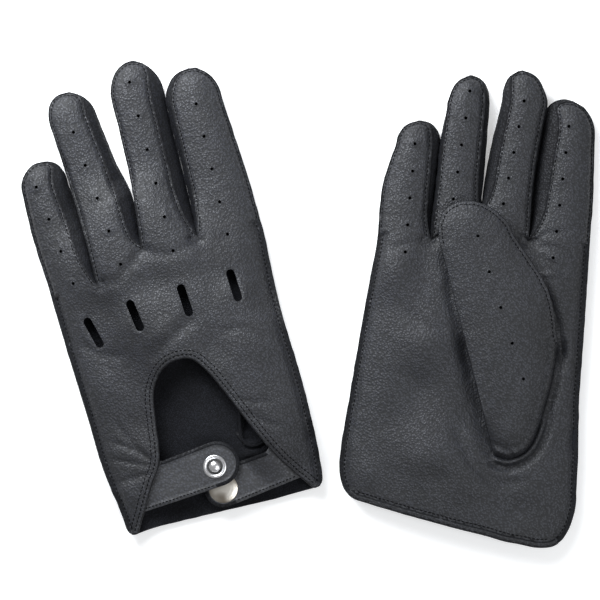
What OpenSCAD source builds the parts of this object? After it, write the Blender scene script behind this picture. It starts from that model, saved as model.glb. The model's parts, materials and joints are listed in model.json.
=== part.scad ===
// A pair of unlined leather driving gloves lying side by side.
// The left glove lies back up with its thumb folded under the palm.
// The right glove lies palm up with its thumb folded over the palm.
// Millimetres. +X to the right, +Y towards the fingertips, +Z up from the surface they lie on.

/* [Leather] */
// Thickness of the glove leather
leather = 1.0; // [0.8:0.1:1.1]
// Thickness of a doubled and stitched tab
tab_leather = 1.2; // [1.0:0.1:1.2]
// Width of the bindings round the cuff and the opening
binding_width = 4.5; // [3:0.5:5]

/* [Shape as it lies] */
// Half the thickness of the hand part
hand_rise = 7; // [6.8:0.1:7.4]
// Half the thickness of a finger
finger_rise = 6; // [5.6:0.1:6.2]
// Half the thickness of the thumb
thumb_rise = 3.8; // [3.6:0.1:4]
// Half the height of the side walls between the fingers
wall_rise = 3.5; // [3:0.1:4]
// How far the side walls belly outwards
wall_belly = 1.0; // [0:0.1:1.2]
// Height of a sewn edge above the middle surface
seam_rise = 1.1; // [1.1:0.05:1.3]

/* [Holes] */
// Diameter of a vent hole
vent_d = 1.4; // [1:0.1:2]
// Length of a knuckle slot
slot_length = 17; // [14:0.5:18]
// Width of a knuckle slot
slot_width = 4.3; // [3.5:0.1:5]

/* [Snap fastener] */
// Diameter of the cap
cap_d = 15; // [14:0.5:15]
// Diameter of the socket under the cap
socket_d = 12.5; // [12:0.1:12.5]
// Diameter of the ring that carries the stud
ring_d = 12; // [11:0.5:12]
// Diameter of the stud's ball
ball_d = 5.8; // [5:0.1:6]
// Diameter of the post through the leather
post_d = 3; // [2.5:0.1:3.5]

/* [Hidden] */
LEFT = 0;
RIGHT = 1;
BACK = 1;
PALM = -1;
SIDES = ["left", "right"];
FINGERS = ["little", "ring", "middle", "index"];
THUMB = 4;

// The glove's back faces up on the left glove and down on the right one.
back_up = [1, -1];
// Where each hand's own frame sits, and how far it leans to the left.
hand_at = [[-60, -41], [81, -38.5]];
hand_lean = [16, -6.3];

// The wrist edge, from the little finger's side to the index finger's side.
hems = [
    [[-91, -117], [-65.5, -111], [-40.5, -105], [-17, -99.5], [6.5, -92.5]],
    [[18, -98], [45, -106], [72, -113.5], [100, -120.5], [128, -122]]
];
// The little finger's edge of the hand, between the wrist and the finger.
outer_edges = [
    [[-104, -87.5], [-114, -55], [-124, -22.5]],
    [[15.5, -80.5], [21, -45], [27.5, -7]]
];
// The index finger's edge of the hand.
inner_edges = [
    [[5, -75.5], [-3.5, -39], [-14.5, -2]],
    [[136.5, -90], [138, -49], [141, -8]]
];
// Where the fingers start: the outer edge, the three crotches and the inner edge.
roots = [
    [[-133.5, 10], [-108, 10], [-85.5, 29.5], [-57, 35], [-22.5, 34.5]],
    [[35, 33.5], [62, 33.5], [87.5, 47], [112, 33.5], [143.5, 32.5]]
];
// Each finger: both ends of its bend line, both ends of its straight part, and its tip.
fingers = [
    [
        [[-141, 33], [-117.5, 40], [-147, 59], [-125, 61], [-136.5, 72.5]],
        [[-118, 44.5], [-91, 53], [-133.5, 93], [-107.5, 96], [-124, 108]],
        [[-92.5, 66], [-66, 71], [-102, 106], [-75, 107], [-90, 124]],
        [[-61.5, 58.5], [-31.5, 66], [-72, 102], [-44, 104], [-60, 120.5]]
    ],
    [
        [[37.5, 60], [64, 57], [44.5, 82], [66, 82], [56, 93.5]],
        [[66.5, 75.5], [90.3, 73.5], [70, 102], [93, 102], [83, 116.5]],
        [[91.5, 72.5], [116, 69.5], [98, 104], [122, 103], [109.5, 119]],
        [[116.3, 58], [145.3, 56], [121.5, 89], [146, 89], [132.5, 103.5]]
    ]
];
// How far a finger is rolled: the width of side wall seen beside its upper panel,
// positive where it shows on the index finger's side.
rolls = [[5, 5.5, 5.5, -1.5], [3, 3, -4.5, -5.5]];
// The vent rows: first hole, last hole and how many.
vent_rows = [
    [
        [[-139, 59.5], [-120, 10.5], 4],
        [[-120, 87.5], [-95.5, 20], 5],
        [[-91.5, 113], [-69, 27], 6],
        [[-57.5, 102], [-41.5, 35.5], 5]
    ],
    [
        [[54, 81.5], [49, 26.5], 5],
        [[82, 108.5], [73.5, 53.5], 5],
        [[109.5, 103.5], [99, 51], 5],
        [[132.5, 90.5], [124.5, 23.5], 6]
    ]
];

// In the hand's own frame from here on.
// The thumb: three points on each edge, from the fold line on, and its tip.
thumb = [
    [[17, -36], [-3, 17.5], [-22.5, 69.5]],
    [[43, 23.5], [35, 49.5], [15, 74.5]],
    [-11, 90]
];
thumb_vents = [[-3.5, 73], [27.5, 3.5], 5];
// The edge of the thumb hole: outer arc, then back along the fold.
thumb_hole = [[17, -37], [26, -38], [36, -29.5], [41.5, -6], [43.5, 10.5], [43, 23], [33, 8], [24, -10], [17, -37]];
// The opening in the back, from the wrist on the little finger's side round to the other side.
opening = [
    [-47, -66], [-34.5, -45], [-26, -32], [-22.5, -12.5], [-19, 2.5], [-10, 12.5], [2, 13.5],
    [9, 6], [15.5, -8], [23, -27], [32, -47], [46, -70]
];
opening_foot = [[60, -95], [-60, -95]];
// The knuckle slots: centre and lean.
slots = [[[-40.5, 39], 13], [[-17.5, 41.5], 7], [[9, 42], 2.5], [[35, 42.5], 2]];
// The tabs: the two ends of the base line, the centre and the radius of the round end.
stud_base = [[-25.5, -33.5], [-40.5, -56]];
stud_end = [1.5, -42.5];
stud_end_r = 11.5;
stud_at = [0, -43.5];
cap_base = [[40, -61], [27, -43.5]];
cap_at = [1, -55.5];
cap_end_r = 9.7;

// Heights above the hand's middle surface, towards the back.
cap_tab_low = 0.9;
socket_low = cap_tab_low - 2.8;
cap_high = cap_tab_low + tab_leather + 1.2;
post_low = cap_high + 0.3;
stud_tab_low = post_low + 0.4;
ring_high = stud_tab_low + tab_leather + 0.7;
stud_high = ring_high + 2.3;

gap = 0.05;
split = 0.008;
finger_columns = 5;
thumb_columns = 7;
wall_columns = 3;
hand_rows = 10;
cap_stations = [2.25, 2.5, 2.7, 2.87, 2.97];
stub_stations = [0, 0.33, 0.66, 1 - split];
reach_stations = concat([1 + split, 1.33, 1.66, 2], cap_stations);
thumb_stations = concat([for (k = [0:8]) 0.02 + k * 0.2475], cap_stations);
wall_end = 2.3;

PARTS = concat(
    ["back_panel", "palm_panel", "fourchette_little_ring", "fourchette_ring_middle",
     "fourchette_middle_index", "cuff_binding", "opening_binding", "thumb_gusset"],
    [for (finger = FINGERS) for (piece = ["back", "palm", "fourchettes"]) str(finger, "_", piece)],
    ["thumb_outer", "thumb_inner", "stud_tab", "snap_stud", "snap_post", "cap_tab", "snap_cap",
     "snap_socket"]
);

// ---- Plain helpers ----

function mix(a, b, t) = a * (1 - t) + b * t;
function smooth(t) = let (k = min(1, max(0, t))) k * k * (3 - 2 * k);
function unit(v) = v / norm(v);
function turn(p, a) = [p.x * cos(a) - p.y * sin(a), p.x * sin(a) + p.y * cos(a)];

// A smooth curve through the points; t runs from 0 to one less than their number.
function spline(points, t) =
    let (
        last = len(points) - 1,
        i = min(floor(t), last - 1),
        f = t - i,
        b = points[i],
        c = points[i + 1],
        a = i > 0 ? points[i - 1] : 2 * b - c,
        d = i < last - 1 ? points[i + 2] : 2 * c - b
    )
    b + 0.5 * f * ((c - a) + f * ((2 * a - 5 * b + 4 * c - d) + f * (3 * b - a - 3 * c + d)));

function curve(points, steps) =
    [for (k = [0:steps]) spline(points, k * (len(points) - 1) / steps)];

// How near p is to the line a-b: 1 within `full`, falling to 0 over `fade`.
function near(p, a, b, full, fade) =
    let (t = min(1, max(0, (p - a) * (b - a) / ((b - a) * (b - a)))))
    smooth(1 - (norm(p - mix(a, b, t)) - full) / fade);

// A point of the hand's own frame in the pair's frame.
function seat(g, p) = hand_at[g] + turn(p, hand_lean[g]);

// ---- Heights ----

// The left glove lies over its own thumb, and the right one over its own stud.
function lift(g, p) =
    g == LEFT
        ? (2 * thumb_rise + 0.6) * max(
            near(p, seat(g, [29, -6]), seat(g, [-8, 74]), 22, 20),
            near(p, seat(g, [29, -6]), seat(g, [62, -8]), 30, 14))
        : (stud_high + 0.1 - hand_rise) * near(p, seat(g, stud_at), seat(g, cap_at), 8, 30);

function thumb_mid(g) = g == LEFT ? thumb_rise : hand_rise + stud_high + 0.5 + thumb_rise;
function tab_mid(g) = hand_rise + lift(g, seat(g, stud_at));

// The side of a panel that lies down is flattened in the middle.
function crown_shape(g, face, q, power) =
    min(1, (face == back_up[g] ? 1 : 1.12) * (1 - pow(abs(q), power)));

// ---- Fingers and thumb ----
// A limb is its left edge, its right edge and its tip. Stations run 0 to 2 along the edges,
// with the bend line of a finger at 1, and 2 to 3 round the tip.

function limb(g, f) =
    f == THUMB
        ? [[for (p = thumb[0]) seat(g, p)], [for (p = thumb[1]) seat(g, p)], seat(g, thumb[2])]
        : let (n = fingers[g][f]) [[roots[g][f], n[0], n[2]], [roots[g][f + 1], n[1], n[3]], n[4]];

function limb_edge(l, side, s) =
    s <= 2
        ? spline(l[side], s)
        : let (middle = (l[0][2] + l[1][2]) / 2, half = (l[1][2] - l[0][2]) / 2, a = (s - 2) * 90)
          mix(middle, l[2], sin(a)) + (2 * side - 1) * half * cos(a);

function is_sewn_edge(f, side) = f == THUMB || (f == 0 && side == 0) || (f == 3 && side == 1);

function wall_height(s) = mix(wall_rise, seam_rise, smooth((s - 1.6) / 1.2));
function rim_height(f, side, s) = is_sewn_edge(f, side) ? seam_rise : wall_height(s);

function full_rise(f) = f == THUMB ? thumb_rise : finger_rise;
function crown_height(f, s) = s <= 2 ? full_rise(f) : mix(seam_rise, full_rise(f), sqrt(cos((s - 2) * 90)));

function mid_height(g, f, s, p) =
    f == THUMB
        ? thumb_mid(g)
        : mix(hand_rise, finger_rise, smooth(s)) - 0.6 * (full_rise(f) - crown_height(f, s)) + lift(g, p);

// How far a panel stops short of the limb's edge, where a side wall shows.
function inset(g, f, face, side, s) =
    is_sewn_edge(f, side)
        ? 0
        : let (
            roll = rolls[g][f],
            wall_shows = (roll > 0) == (side == 1),
            seen = wall_shows == (face == back_up[g])
        )
        (seen ? abs(roll) : 0.8) * smooth(s / 0.5) * (1 - smooth((s - 2.1) / 0.7));

function panel_point(g, f, face, s, q) =
    let (l = limb(g, f), a = limb_edge(l, 0, s), b = limb_edge(l, 1, s), d = unit(b - a))
    mix(a + d * inset(g, f, face, 0, s), b - d * inset(g, f, face, 1, s), (q + 1) / 2);

function place(g, p, mid, height) = [p.x, p.y, mid + back_up[g] * height];

function panel_row(g, f, face, s, depth, columns) =
    [for (k = [0:columns])
        let (
            q = 2 * k / columns - 1,
            p = panel_point(g, f, face, s, q),
            rim = rim_height(f, q < 0 ? 0 : 1, s),
            height = mix(rim, crown_height(f, s), crown_shape(g, face, q, 2.5))
        )
        place(g, p, mid_height(g, f, s, p), face * (height - depth))];

// A row across a side wall, from the back panel to the palm panel.
function wall_row(g, f, side, s, depth) =
    let (
        from = panel_point(g, f, BACK, s, 2 * side - 1),
        to = panel_point(g, f, PALM, s, 2 * side - 1),
        l = limb(g, f),
        outward = (2 * side - 1) * unit(limb_edge(l, 1, s) - limb_edge(l, 0, s)),
        half = rim_height(f, side, s) - leather - gap
    )
    [for (k = [0:wall_columns])
        let (
            t = k / wall_columns,
            p = mix(from, to, t) + outward * (wall_belly * sin(180 * t) * smooth(s / 0.5) - depth)
        )
        place(g, p, mid_height(g, f, s, p), mix(half, -half, t))];

// ---- Hand ----

function hand_line(g, k, v) =
    k == 0 ? spline(concat([hems[g][0]], outer_edges[g], [roots[g][0]]), 4 * v)
    : k == 4 ? spline(concat([hems[g][4]], inner_edges[g], [roots[g][4]]), 4 * v)
    : mix(hems[g][k], roots[g][k], v);

// One row across the hand, at v from the wrist (0) to the crotches (1).
function hand_row(g, face, v, depth) =
    [for (k = [0:4 * finger_columns])
        let (
            f = min(3, floor(k / finger_columns)),
            t = k / finger_columns - f,
            p = mix(hand_line(g, f, v), hand_line(g, f + 1, v), t),
            w = k / (2 * finger_columns) - 1,
            rise = mix(hand_rise - 1, hand_rise, smooth(v / 0.35)),
            open = mix(seam_rise, rise, crown_shape(g, face, w, 5)),
            q = 2 * t - 1,
            rim = rim_height(f, q < 0 ? 0 : 1, 0),
            ribbed = mix(rim, crown_height(f, 0), crown_shape(g, face, q, 2.5)),
            height = mix(open, ribbed, smooth((v - 0.7) / 0.3))
        )
        place(g, p, hand_rise + lift(g, p), face * (height - depth))];

// The last row is put together from the fingers' first rows, so that they share their points.
function root_row(g, face, depth) =
    [for (f = [0:3])
        let (row = panel_row(g, f, face, 0, depth, finger_columns))
        for (k = [f == 0 ? 0 : 1:finger_columns]) row[k]];

function hand_grid(g, face, depth) =
    concat(
        [for (j = [0:hand_rows - 1]) hand_row(g, face, j / hand_rows, depth)],
        [root_row(g, face, depth)]
    );

// ---- Shells ----

function shell_faces(rows, columns) =
    let (
        n = rows * columns,
        quads = concat(
            [for (r = [0:rows - 2]) for (c = [0:columns - 2])
                let (i = r * columns + c) [i, i + 1, i + columns + 1, i + columns]],
            [for (r = [0:rows - 2]) for (c = [0:columns - 2])
                let (i = n + r * columns + c) [i, i + columns, i + columns + 1, i + 1]],
            [for (c = [0:columns - 2]) [n + c, n + c + 1, c + 1, c]],
            [for (c = [0:columns - 2]) let (i = n - columns + c) [i, i + 1, n + i + 1, n + i]],
            [for (r = [0:rows - 2]) let (i = r * columns) [i, i + columns, n + i + columns, n + i]],
            [for (r = [0:rows - 2]) let (i = (r + 1) * columns - 1) [n + i, n + i + columns, i + columns, i]]
        )
    )
    [for (q = quads) for (t = [[q[0], q[1], q[2]], [q[0], q[2], q[3]]]) t];

function six_volumes(points, faces) =
    [for (f = faces) cross(points[f[0]], points[f[1]]) * points[f[2]]] * [for (f = faces) 1];

// A closed solid between two grids of the same size, with its faces turned outwards.
module shell(outer, inner) {
    points = concat([for (row = outer) each row], [for (row = inner) each row]);
    faces = shell_faces(len(outer), len(outer[0]));
    outwards = six_volumes(points, faces) < 0;
    polyhedron(points, outwards ? faces : [for (f = faces) [f[2], f[1], f[0]]], convexity = 6);
}

module hand_shell(g, face, depth, thickness) {
    shell(hand_grid(g, face, depth), hand_grid(g, face, depth + thickness));
}

module limb_shell(g, f, face, stations, columns) {
    shell(
        [for (s = stations) panel_row(g, f, face, s, 0, columns)],
        [for (s = stations) panel_row(g, f, face, s, leather, columns)]
    );
}

module wall_shell(g, f, side, stations) {
    shell(
        [for (s = stations) wall_row(g, f, side, s, 0)],
        [for (s = stations) wall_row(g, f, side, s, leather)]
    );
}

// ---- Cutters ----

module through() {
    translate([0, 0, -20])
        linear_extrude(70)
            children();
}

module vents(g, row) {
    for (k = [0:row[2] - 1])
        translate(mix(row[0], row[1], k / (row[2] - 1)))
            circle(d = vent_d, $fn = 6);
}

module finger_vents(g) {
    through()
        for (row = vent_rows[g])
            vents(g, row);
}

module thumb_vent_cutter(g) {
    through()
        vents(g, [seat(g, thumb_vents[0]), seat(g, thumb_vents[1]), thumb_vents[2]]);
}

module knuckle_slots(g) {
    half = (slot_length - slot_width) / 2;
    through()
        for (slot = slots)
            hull()
                for (end = [-half, half])
                    translate(seat(g, slot[0] + turn([0, end], slot[1])))
                        circle(d = slot_width, $fn = 16);
}

module opening_shape(g) {
    polygon([for (p = concat(curve(opening, 36), opening_foot)) seat(g, p)]);
}

module thumb_hole_shape(g) {
    polygon([for (p = curve(thumb_hole, 28)) seat(g, p)]);
}

// ---- Sub-parts of the hand ----

module back_panel(g) {
    color("#30343b")
        difference() {
            union() {
                hand_shell(g, BACK, 0, leather);
                for (f = [0:3])
                    limb_shell(g, f, BACK, stub_stations, finger_columns);
            }
            finger_vents(g);
            knuckle_slots(g);
            through()
                opening_shape(g);
        }
}

module palm_panel(g) {
    color("#2c3036")
        difference() {
            union() {
                hand_shell(g, PALM, 0, leather);
                for (f = [0:3])
                    limb_shell(g, f, PALM, stub_stations, finger_columns);
            }
            finger_vents(g);
            through()
                thumb_hole_shape(g);
        }
}

// The two walls of neighbouring fingers, joined by the fold in the crotch.
module fourchette(g, f) {
    stations = [0.03, 0.34, 0.67, 1 - split];
    fold = 2 * (wall_rise - 1.5 * leather);
    root = roots[g][f + 1];
    color("#202329") {
        wall_shell(g, f, 1, stations);
        wall_shell(g, f + 1, 0, stations);
        translate([root.x, root.y, hand_rise + lift(g, root) - fold / 2])
            cylinder(d = 3, h = fold, $fn = 12);
    }
}

// Part of the palm panel's first strip, away from its thin side edges.
function cuff_rows(g, depth) =
    let (first = hand_row(g, PALM, 0, depth), second = hand_row(g, PALM, 1 / hand_rows, depth))
    [for (t = [0.03, 0.22, 0.4])
        [for (k = [1:4 * finger_columns - 1]) mix(first[k], second[k], t)]];

module cuff_binding(g) {
    color("#25282e")
        shell(cuff_rows(g, leather + 2 * gap), cuff_rows(g, 1.9 * leather));
}

// The hand's outline without its thin side edges.
module hand_middle(g) {
    rows = [for (k = [0:hand_rows]) hand_row(g, BACK, k / hand_rows, 0)];
    last = 4 * finger_columns - 1;
    polygon([for (p = concat([for (row = rows) row[1]], [for (k = [hand_rows:-1:0]) rows[k][last]])) [p.x, p.y]]);
}

module opening_binding(g) {
    color("#25282e")
        intersection() {
            hand_shell(g, BACK, leather + gap, 0.8 * leather);
            through()
                hand_middle(g);
            through()
                difference() {
                    offset(r = binding_width, $fn = 12)
                        opening_shape(g);
                    opening_shape(g);
                }
        }
}

module thumb_gusset(g) {
    color("#25282e")
        intersection() {
            hand_shell(g, PALM, leather + gap, 0.8 * leather);
            through()
                difference() {
                    offset(r = 3, $fn = 12)
                        thumb_hole_shape(g);
                    thumb_hole_shape(g);
                }
        }
}

// ---- Fingers and thumb beyond their bend lines ----

module finger_panel(g, f, face) {
    color("#30343b")
        difference() {
            limb_shell(g, f, face, reach_stations, finger_columns);
            finger_vents(g);
        }
}

module finger_walls(g, f) {
    stations = [1 + split, 1.33, 1.66, 2, wall_end];
    color("#202329")
        for (side = [0, 1])
            if (!is_sewn_edge(f, side))
                wall_shell(g, f, side, stations);
}

module thumb_panel(g, face) {
    color("#30343b")
        difference() {
            limb_shell(g, THUMB, face, thumb_stations, thumb_columns);
            thumb_vent_cutter(g);
        }
}

// ---- Tabs and snap ----

// Where the line from p touches the circle, on the side the sign says.
function touch(centre, r, p, sign) =
    let (d = p - centre, a = acos(r / norm(d)))
    centre + turn(unit(d) * r, sign * a);

module tab_shape(base, centre, r) {
    polygon([base[0], base[1], touch(centre, r, base[1], 1), centre, touch(centre, r, base[0], -1)]);
    translate(centre)
        circle(r = r, $fn = 48);
}

// Children drawn in the hand's frame, with their height counted towards the glove's back.
module on_hand(g) {
    translate([hand_at[g].x, hand_at[g].y, tab_mid(g)])
        rotate([0, 0, hand_lean[g]])
            mirror([0, 0, g == RIGHT ? 1 : 0])
                children();
}

module tab(g, base, centre, r, low, hole_at, hole_d) {
    color("#2a2e34")
        on_hand(g)
            translate([0, 0, low])
                linear_extrude(tab_leather)
                    difference() {
                        tab_shape(base, centre, r);
                        translate(hole_at)
                            circle(d = hole_d, $fn = 32);
                    }
}

module stud_tab(g) {
    tab(g, stud_base, stud_end, stud_end_r, stud_tab_low, stud_at, post_d + 0.1);
}

module cap_tab(g) {
    tab(g, cap_base, cap_at, cap_end_r, cap_tab_low, cap_at, post_d + 0.1);
}

module snap_stud(g) {
    low = stud_tab_low + tab_leather;
    color("#c9ccd0")
        on_hand(g)
            translate([stud_at.x, stud_at.y, low])
                rotate_extrude($fn = 48)
                    polygon([
                        [post_d / 2 + 0.05, 0], [ring_d / 2, 0], [ring_d / 2, 0.35], [ring_d / 2 - 0.5, 0.7],
                        [ring_d / 2 - 1.2, 0.7], [ball_d / 2 + 0.6, 0.3], [ball_d / 2 - 0.5, 0.5],
                        [ball_d / 2 - 0.5, 1.0], [ball_d / 2, 1.7], [ball_d / 2 - 0.1, 2.4],
                        [ball_d / 2 - 0.6, 3.0], [post_d / 2 + 0.05, 3.0]
                    ]);
}

module snap_post(g) {
    color("#b9bcc0")
        on_hand(g)
            translate([stud_at.x, stud_at.y, post_low]) {
                cylinder(d = 9, h = 0.4, $fn = 48);
                cylinder(d = post_d, h = stud_high - post_low - 0.3, $fn = 32);
            }
}

module snap_cap(g) {
    color("#c9ccd0")
        on_hand(g)
            translate([cap_at.x, cap_at.y, cap_tab_low])
                rotate_extrude($fn = 64)
                    polygon([
                        [0, -0.4], [post_d / 2, -0.4], [post_d / 2, tab_leather], [cap_d / 2 - 0.4, tab_leather],
                        [cap_d / 2, tab_leather + 0.3], [cap_d / 2 - 0.3, tab_leather + 0.7],
                        [cap_d / 2 - 1.6, tab_leather + 1.0], [cap_d / 4, tab_leather + 1.2], [0, tab_leather + 1.2]
                    ]);
}

module snap_socket(g) {
    color("#b9bcc0")
        on_hand(g)
            translate([cap_at.x, cap_at.y, socket_low])
                rotate_extrude($fn = 64)
                    polygon([
                        [ball_d / 2, 0], [socket_d / 2 - 1, 0], [socket_d / 2, 0.6], [socket_d / 2, 2.4],
                        [socket_d / 2 - 0.6, 2.8], [post_d / 2 + 0.1, 2.8], [post_d / 2 + 0.1, 2.2], [ball_d / 2 + 0.3, 2.2]
                    ]);
}

// ---- The pair ----

module part(g, name) {
    if (name == "back_panel") back_panel(g);
    if (name == "palm_panel") palm_panel(g);
    if (name == "fourchette_little_ring") fourchette(g, 0);
    if (name == "fourchette_ring_middle") fourchette(g, 1);
    if (name == "fourchette_middle_index") fourchette(g, 2);
    if (name == "cuff_binding") cuff_binding(g);
    if (name == "opening_binding") opening_binding(g);
    if (name == "thumb_gusset") thumb_gusset(g);
    for (f = [0:3]) {
        if (name == str(FINGERS[f], "_back")) finger_panel(g, f, BACK);
        if (name == str(FINGERS[f], "_palm")) finger_panel(g, f, PALM);
        if (name == str(FINGERS[f], "_fourchettes")) finger_walls(g, f);
    }
    if (name == "thumb_outer") thumb_panel(g, PALM);
    if (name == "thumb_inner") thumb_panel(g, BACK);
    if (name == "stud_tab") stud_tab(g);
    if (name == "snap_stud") snap_stud(g);
    if (name == "snap_post") snap_post(g);
    if (name == "cap_tab") cap_tab(g);
    if (name == "snap_cap") snap_cap(g);
    if (name == "snap_socket") snap_socket(g);
}

for (g = [LEFT, RIGHT])
    for (name = PARTS)
        part(g, name);
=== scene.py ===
# The look of a pair of black leather driving gloves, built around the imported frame.
# Lengths are in millimetres until a mesh is made.
import json
import math

import bpy
import numpy as np
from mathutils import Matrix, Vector, noise
from mathutils.bvhtree import BVHTree
from mathutils.geometry import delaunay_2d_cdt
from mathutils.kdtree import KDTree


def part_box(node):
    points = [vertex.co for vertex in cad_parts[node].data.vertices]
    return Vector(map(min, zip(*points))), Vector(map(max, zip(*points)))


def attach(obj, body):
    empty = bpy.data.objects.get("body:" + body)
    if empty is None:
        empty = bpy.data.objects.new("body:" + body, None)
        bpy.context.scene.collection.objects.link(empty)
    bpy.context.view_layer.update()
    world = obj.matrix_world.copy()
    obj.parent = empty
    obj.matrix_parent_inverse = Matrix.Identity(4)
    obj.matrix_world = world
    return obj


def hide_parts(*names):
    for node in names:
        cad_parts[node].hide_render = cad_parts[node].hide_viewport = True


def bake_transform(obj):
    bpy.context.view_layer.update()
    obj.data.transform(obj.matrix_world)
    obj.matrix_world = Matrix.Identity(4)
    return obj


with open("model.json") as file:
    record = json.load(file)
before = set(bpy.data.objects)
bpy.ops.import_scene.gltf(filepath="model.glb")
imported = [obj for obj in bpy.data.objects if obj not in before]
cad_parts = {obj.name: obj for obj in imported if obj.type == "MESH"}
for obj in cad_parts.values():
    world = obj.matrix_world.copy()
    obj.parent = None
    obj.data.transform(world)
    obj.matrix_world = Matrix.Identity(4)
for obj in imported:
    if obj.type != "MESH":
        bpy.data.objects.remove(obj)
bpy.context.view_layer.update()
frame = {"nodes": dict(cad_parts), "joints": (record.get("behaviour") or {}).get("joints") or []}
JOINTS = {joint["name"]: joint for joint in frame["joints"]}
MM = 0.001

FINGERS = ["little", "ring", "middle", "index"]
# The panel that faces up is +1, the one that faces down is -1.
PANELS = {"left": {"back": 1, "palm": -1}, "right": {"back": -1, "palm": 1}}

LEATHER = 0.9
FINE, COARSE = 1.25, 2.2
CORNER_RADIUS = {"left": 3.5, "right": 7.5}
FINGER_FLANGE, HAND_FLANGE = 0.8, 2.0
VENT_RADIUS = 0.85
FINGER_STITCH, HAND_STITCH = 1.5, 2.7
STITCH_PITCH, STITCH_LENGTH, STITCH_RADIUS = 2.2, 1.6, 0.30

SEAM, OPENING, HEM, SLOT, VENT, THUMB_HOLE, FOLD = range(7)
OUTSIDE, INSIDE, THREAD, RIM = range(4)


# ---- Plain helpers ----

def smooth(value):
    value = np.clip(value, 0.0, 1.0)
    return value * value * (3.0 - 2.0 * value)


def bell(distance, width):
    return np.exp(-((distance / width) ** 2))


def unit(vectors):
    return vectors / np.maximum(np.linalg.norm(vectors, axis=-1, keepdims=True), 1e-9)


def cross2(a, b):
    return a[..., 0] * b[..., 1] - a[..., 1] * b[..., 0]


def inside(points, loop):
    """Which points lie inside a closed loop."""
    ahead = np.roll(loop, -1, axis=0)
    found = np.zeros(len(points), bool)
    for (ax, ay), (bx, by) in zip(loop, ahead):
        if ay == by:
            continue
        spans = (points[:, 1] < ay) != (points[:, 1] < by)
        found ^= spans & (points[:, 0] < ax + (points[:, 1] - ay) * (bx - ax) / (by - ay))
    return found


def arc_lengths(path):
    return np.concatenate([[0.0], np.cumsum(np.linalg.norm(np.diff(path, axis=0), axis=1))])


def resample(path, count):
    """`count` points, evenly spaced along a path, with both of its ends."""
    along = arc_lengths(path)
    wanted = np.linspace(0.0, along[-1], count)
    return np.stack([np.interp(wanted, along, path[:, axis]) for axis in range(path.shape[1])], axis=1)


def kd_tree(points):
    tree = KDTree(len(points))
    for index, point in enumerate(points):
        tree.insert((point[0], point[1], 0.0), index)
    tree.balance()
    return tree


def nearest(tree, points):
    """The index of the nearest point of the tree for each point, and how far it is."""
    found = [tree.find((point[0], point[1], 0.0)) for point in points]
    return np.array([item[1] for item in found]), np.array([item[2] for item in found])


def to_path(points, path):
    """How far each point is from a path, and how far along the path its nearest place is."""
    best = np.full(len(points), 1e9)
    place = np.zeros(len(points))
    start = 0.0
    for a, b in zip(path[:-1], path[1:]):
        length = np.linalg.norm(b - a)
        share = np.clip((points - a) @ (b - a) / max(length * length, 1e-9), 0.0, 1.0)
        distance = np.linalg.norm(points - (a + share[:, None] * (b - a)), axis=1)
        closer = distance < best
        best[closer] = distance[closer]
        place[closer] = start + share[closer] * length
        start += length
    return best, place / max(start, 1e-9)


# ---- Reading the frame ----

def cad(node):
    """A CAD node's points, doubles merged, and its triangles."""
    mesh = frame["nodes"][node].data
    points = np.empty(len(mesh.vertices) * 3)
    mesh.vertices.foreach_get("co", points)
    mesh.calc_loop_triangles()
    triangles = np.empty(len(mesh.loop_triangles) * 3, int)
    mesh.loop_triangles.foreach_get("vertices", triangles)
    points, index = np.unique(np.round(points.reshape(-1, 3) / MM, 3), axis=0, return_inverse=True)
    triangles = index.reshape(-1)[triangles].reshape(-1, 3)
    sound = (triangles != np.roll(triangles, 1, axis=1)).all(axis=1)
    return points, triangles[sound]


def facing(node, sign):
    """The part of a CAD node that faces up (+1) or down (-1)."""
    points, triangles = cad(node)
    corners = points[triangles]
    normals = unit(np.cross(corners[:, 1] - corners[:, 0], corners[:, 2] - corners[:, 0]))
    return points, triangles[normals[:, 2] * sign > 0.05]


def loops_of(points, triangles):
    """The edge loops of a sheet of triangles, longest first, the outer one anticlockwise from above."""
    edges = {(a, b) for t in triangles for a, b in ((t[0], t[1]), (t[1], t[2]), (t[2], t[0]))}
    following = {}
    for a, b in edges:
        if (b, a) not in edges:
            following.setdefault(a, []).append(b)
    loops = []
    for first in sorted(following):
        while following.get(first):
            loop = [first]
            while following.get(loop[-1]):
                loop.append(following[loop[-1]].pop())
                if loop[-1] == first:
                    break
            loops.append(points[loop[:-1], :2])
    loops.sort(key=lambda loop: -arc_lengths(loop)[-1])
    outer = loops[0]
    if cross2(outer, np.roll(outer, -1, axis=0)).sum() < 0:
        loops = [loop[::-1] for loop in loops]
    return loops


class Surface:
    """Heights of the CAD's outer faces, looked up from above or below."""

    def __init__(self, nodes, sign):
        points, triangles = [], []
        for node in nodes:
            found, faces = facing(node, sign)
            triangles.append(faces + sum(len(group) for group in points))
            points.append(found)
        self.sign = sign
        self.points = np.concatenate(points)
        self.tree = BVHTree.FromPolygons(self.points.tolist(), np.concatenate(triangles).tolist())
        used = np.unique(np.concatenate(triangles))
        self.used = self.points[used]
        self.flat = kd_tree(self.used)

    def heights(self, flat_points):
        result = np.empty(len(flat_points))
        for index, (x, y) in enumerate(flat_points):
            hit = self.tree.ray_cast((x, y, 100.0 * self.sign), (0.0, 0.0, -self.sign))[0]
            if hit is None:
                hit = self.used[self.flat.find((x, y, 0.0))[1]]
            result[index] = hit[2]
        return result


def hinge(name):
    """A hinge's place and direction seen from above, and its place in space."""
    joint = JOINTS[name]
    place = np.array(joint["pos_m"]) / MM
    axis = unit(np.array(joint["axis"], float)[:2])
    return place[:2], axis, place


# ---- Outlines ----

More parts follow.
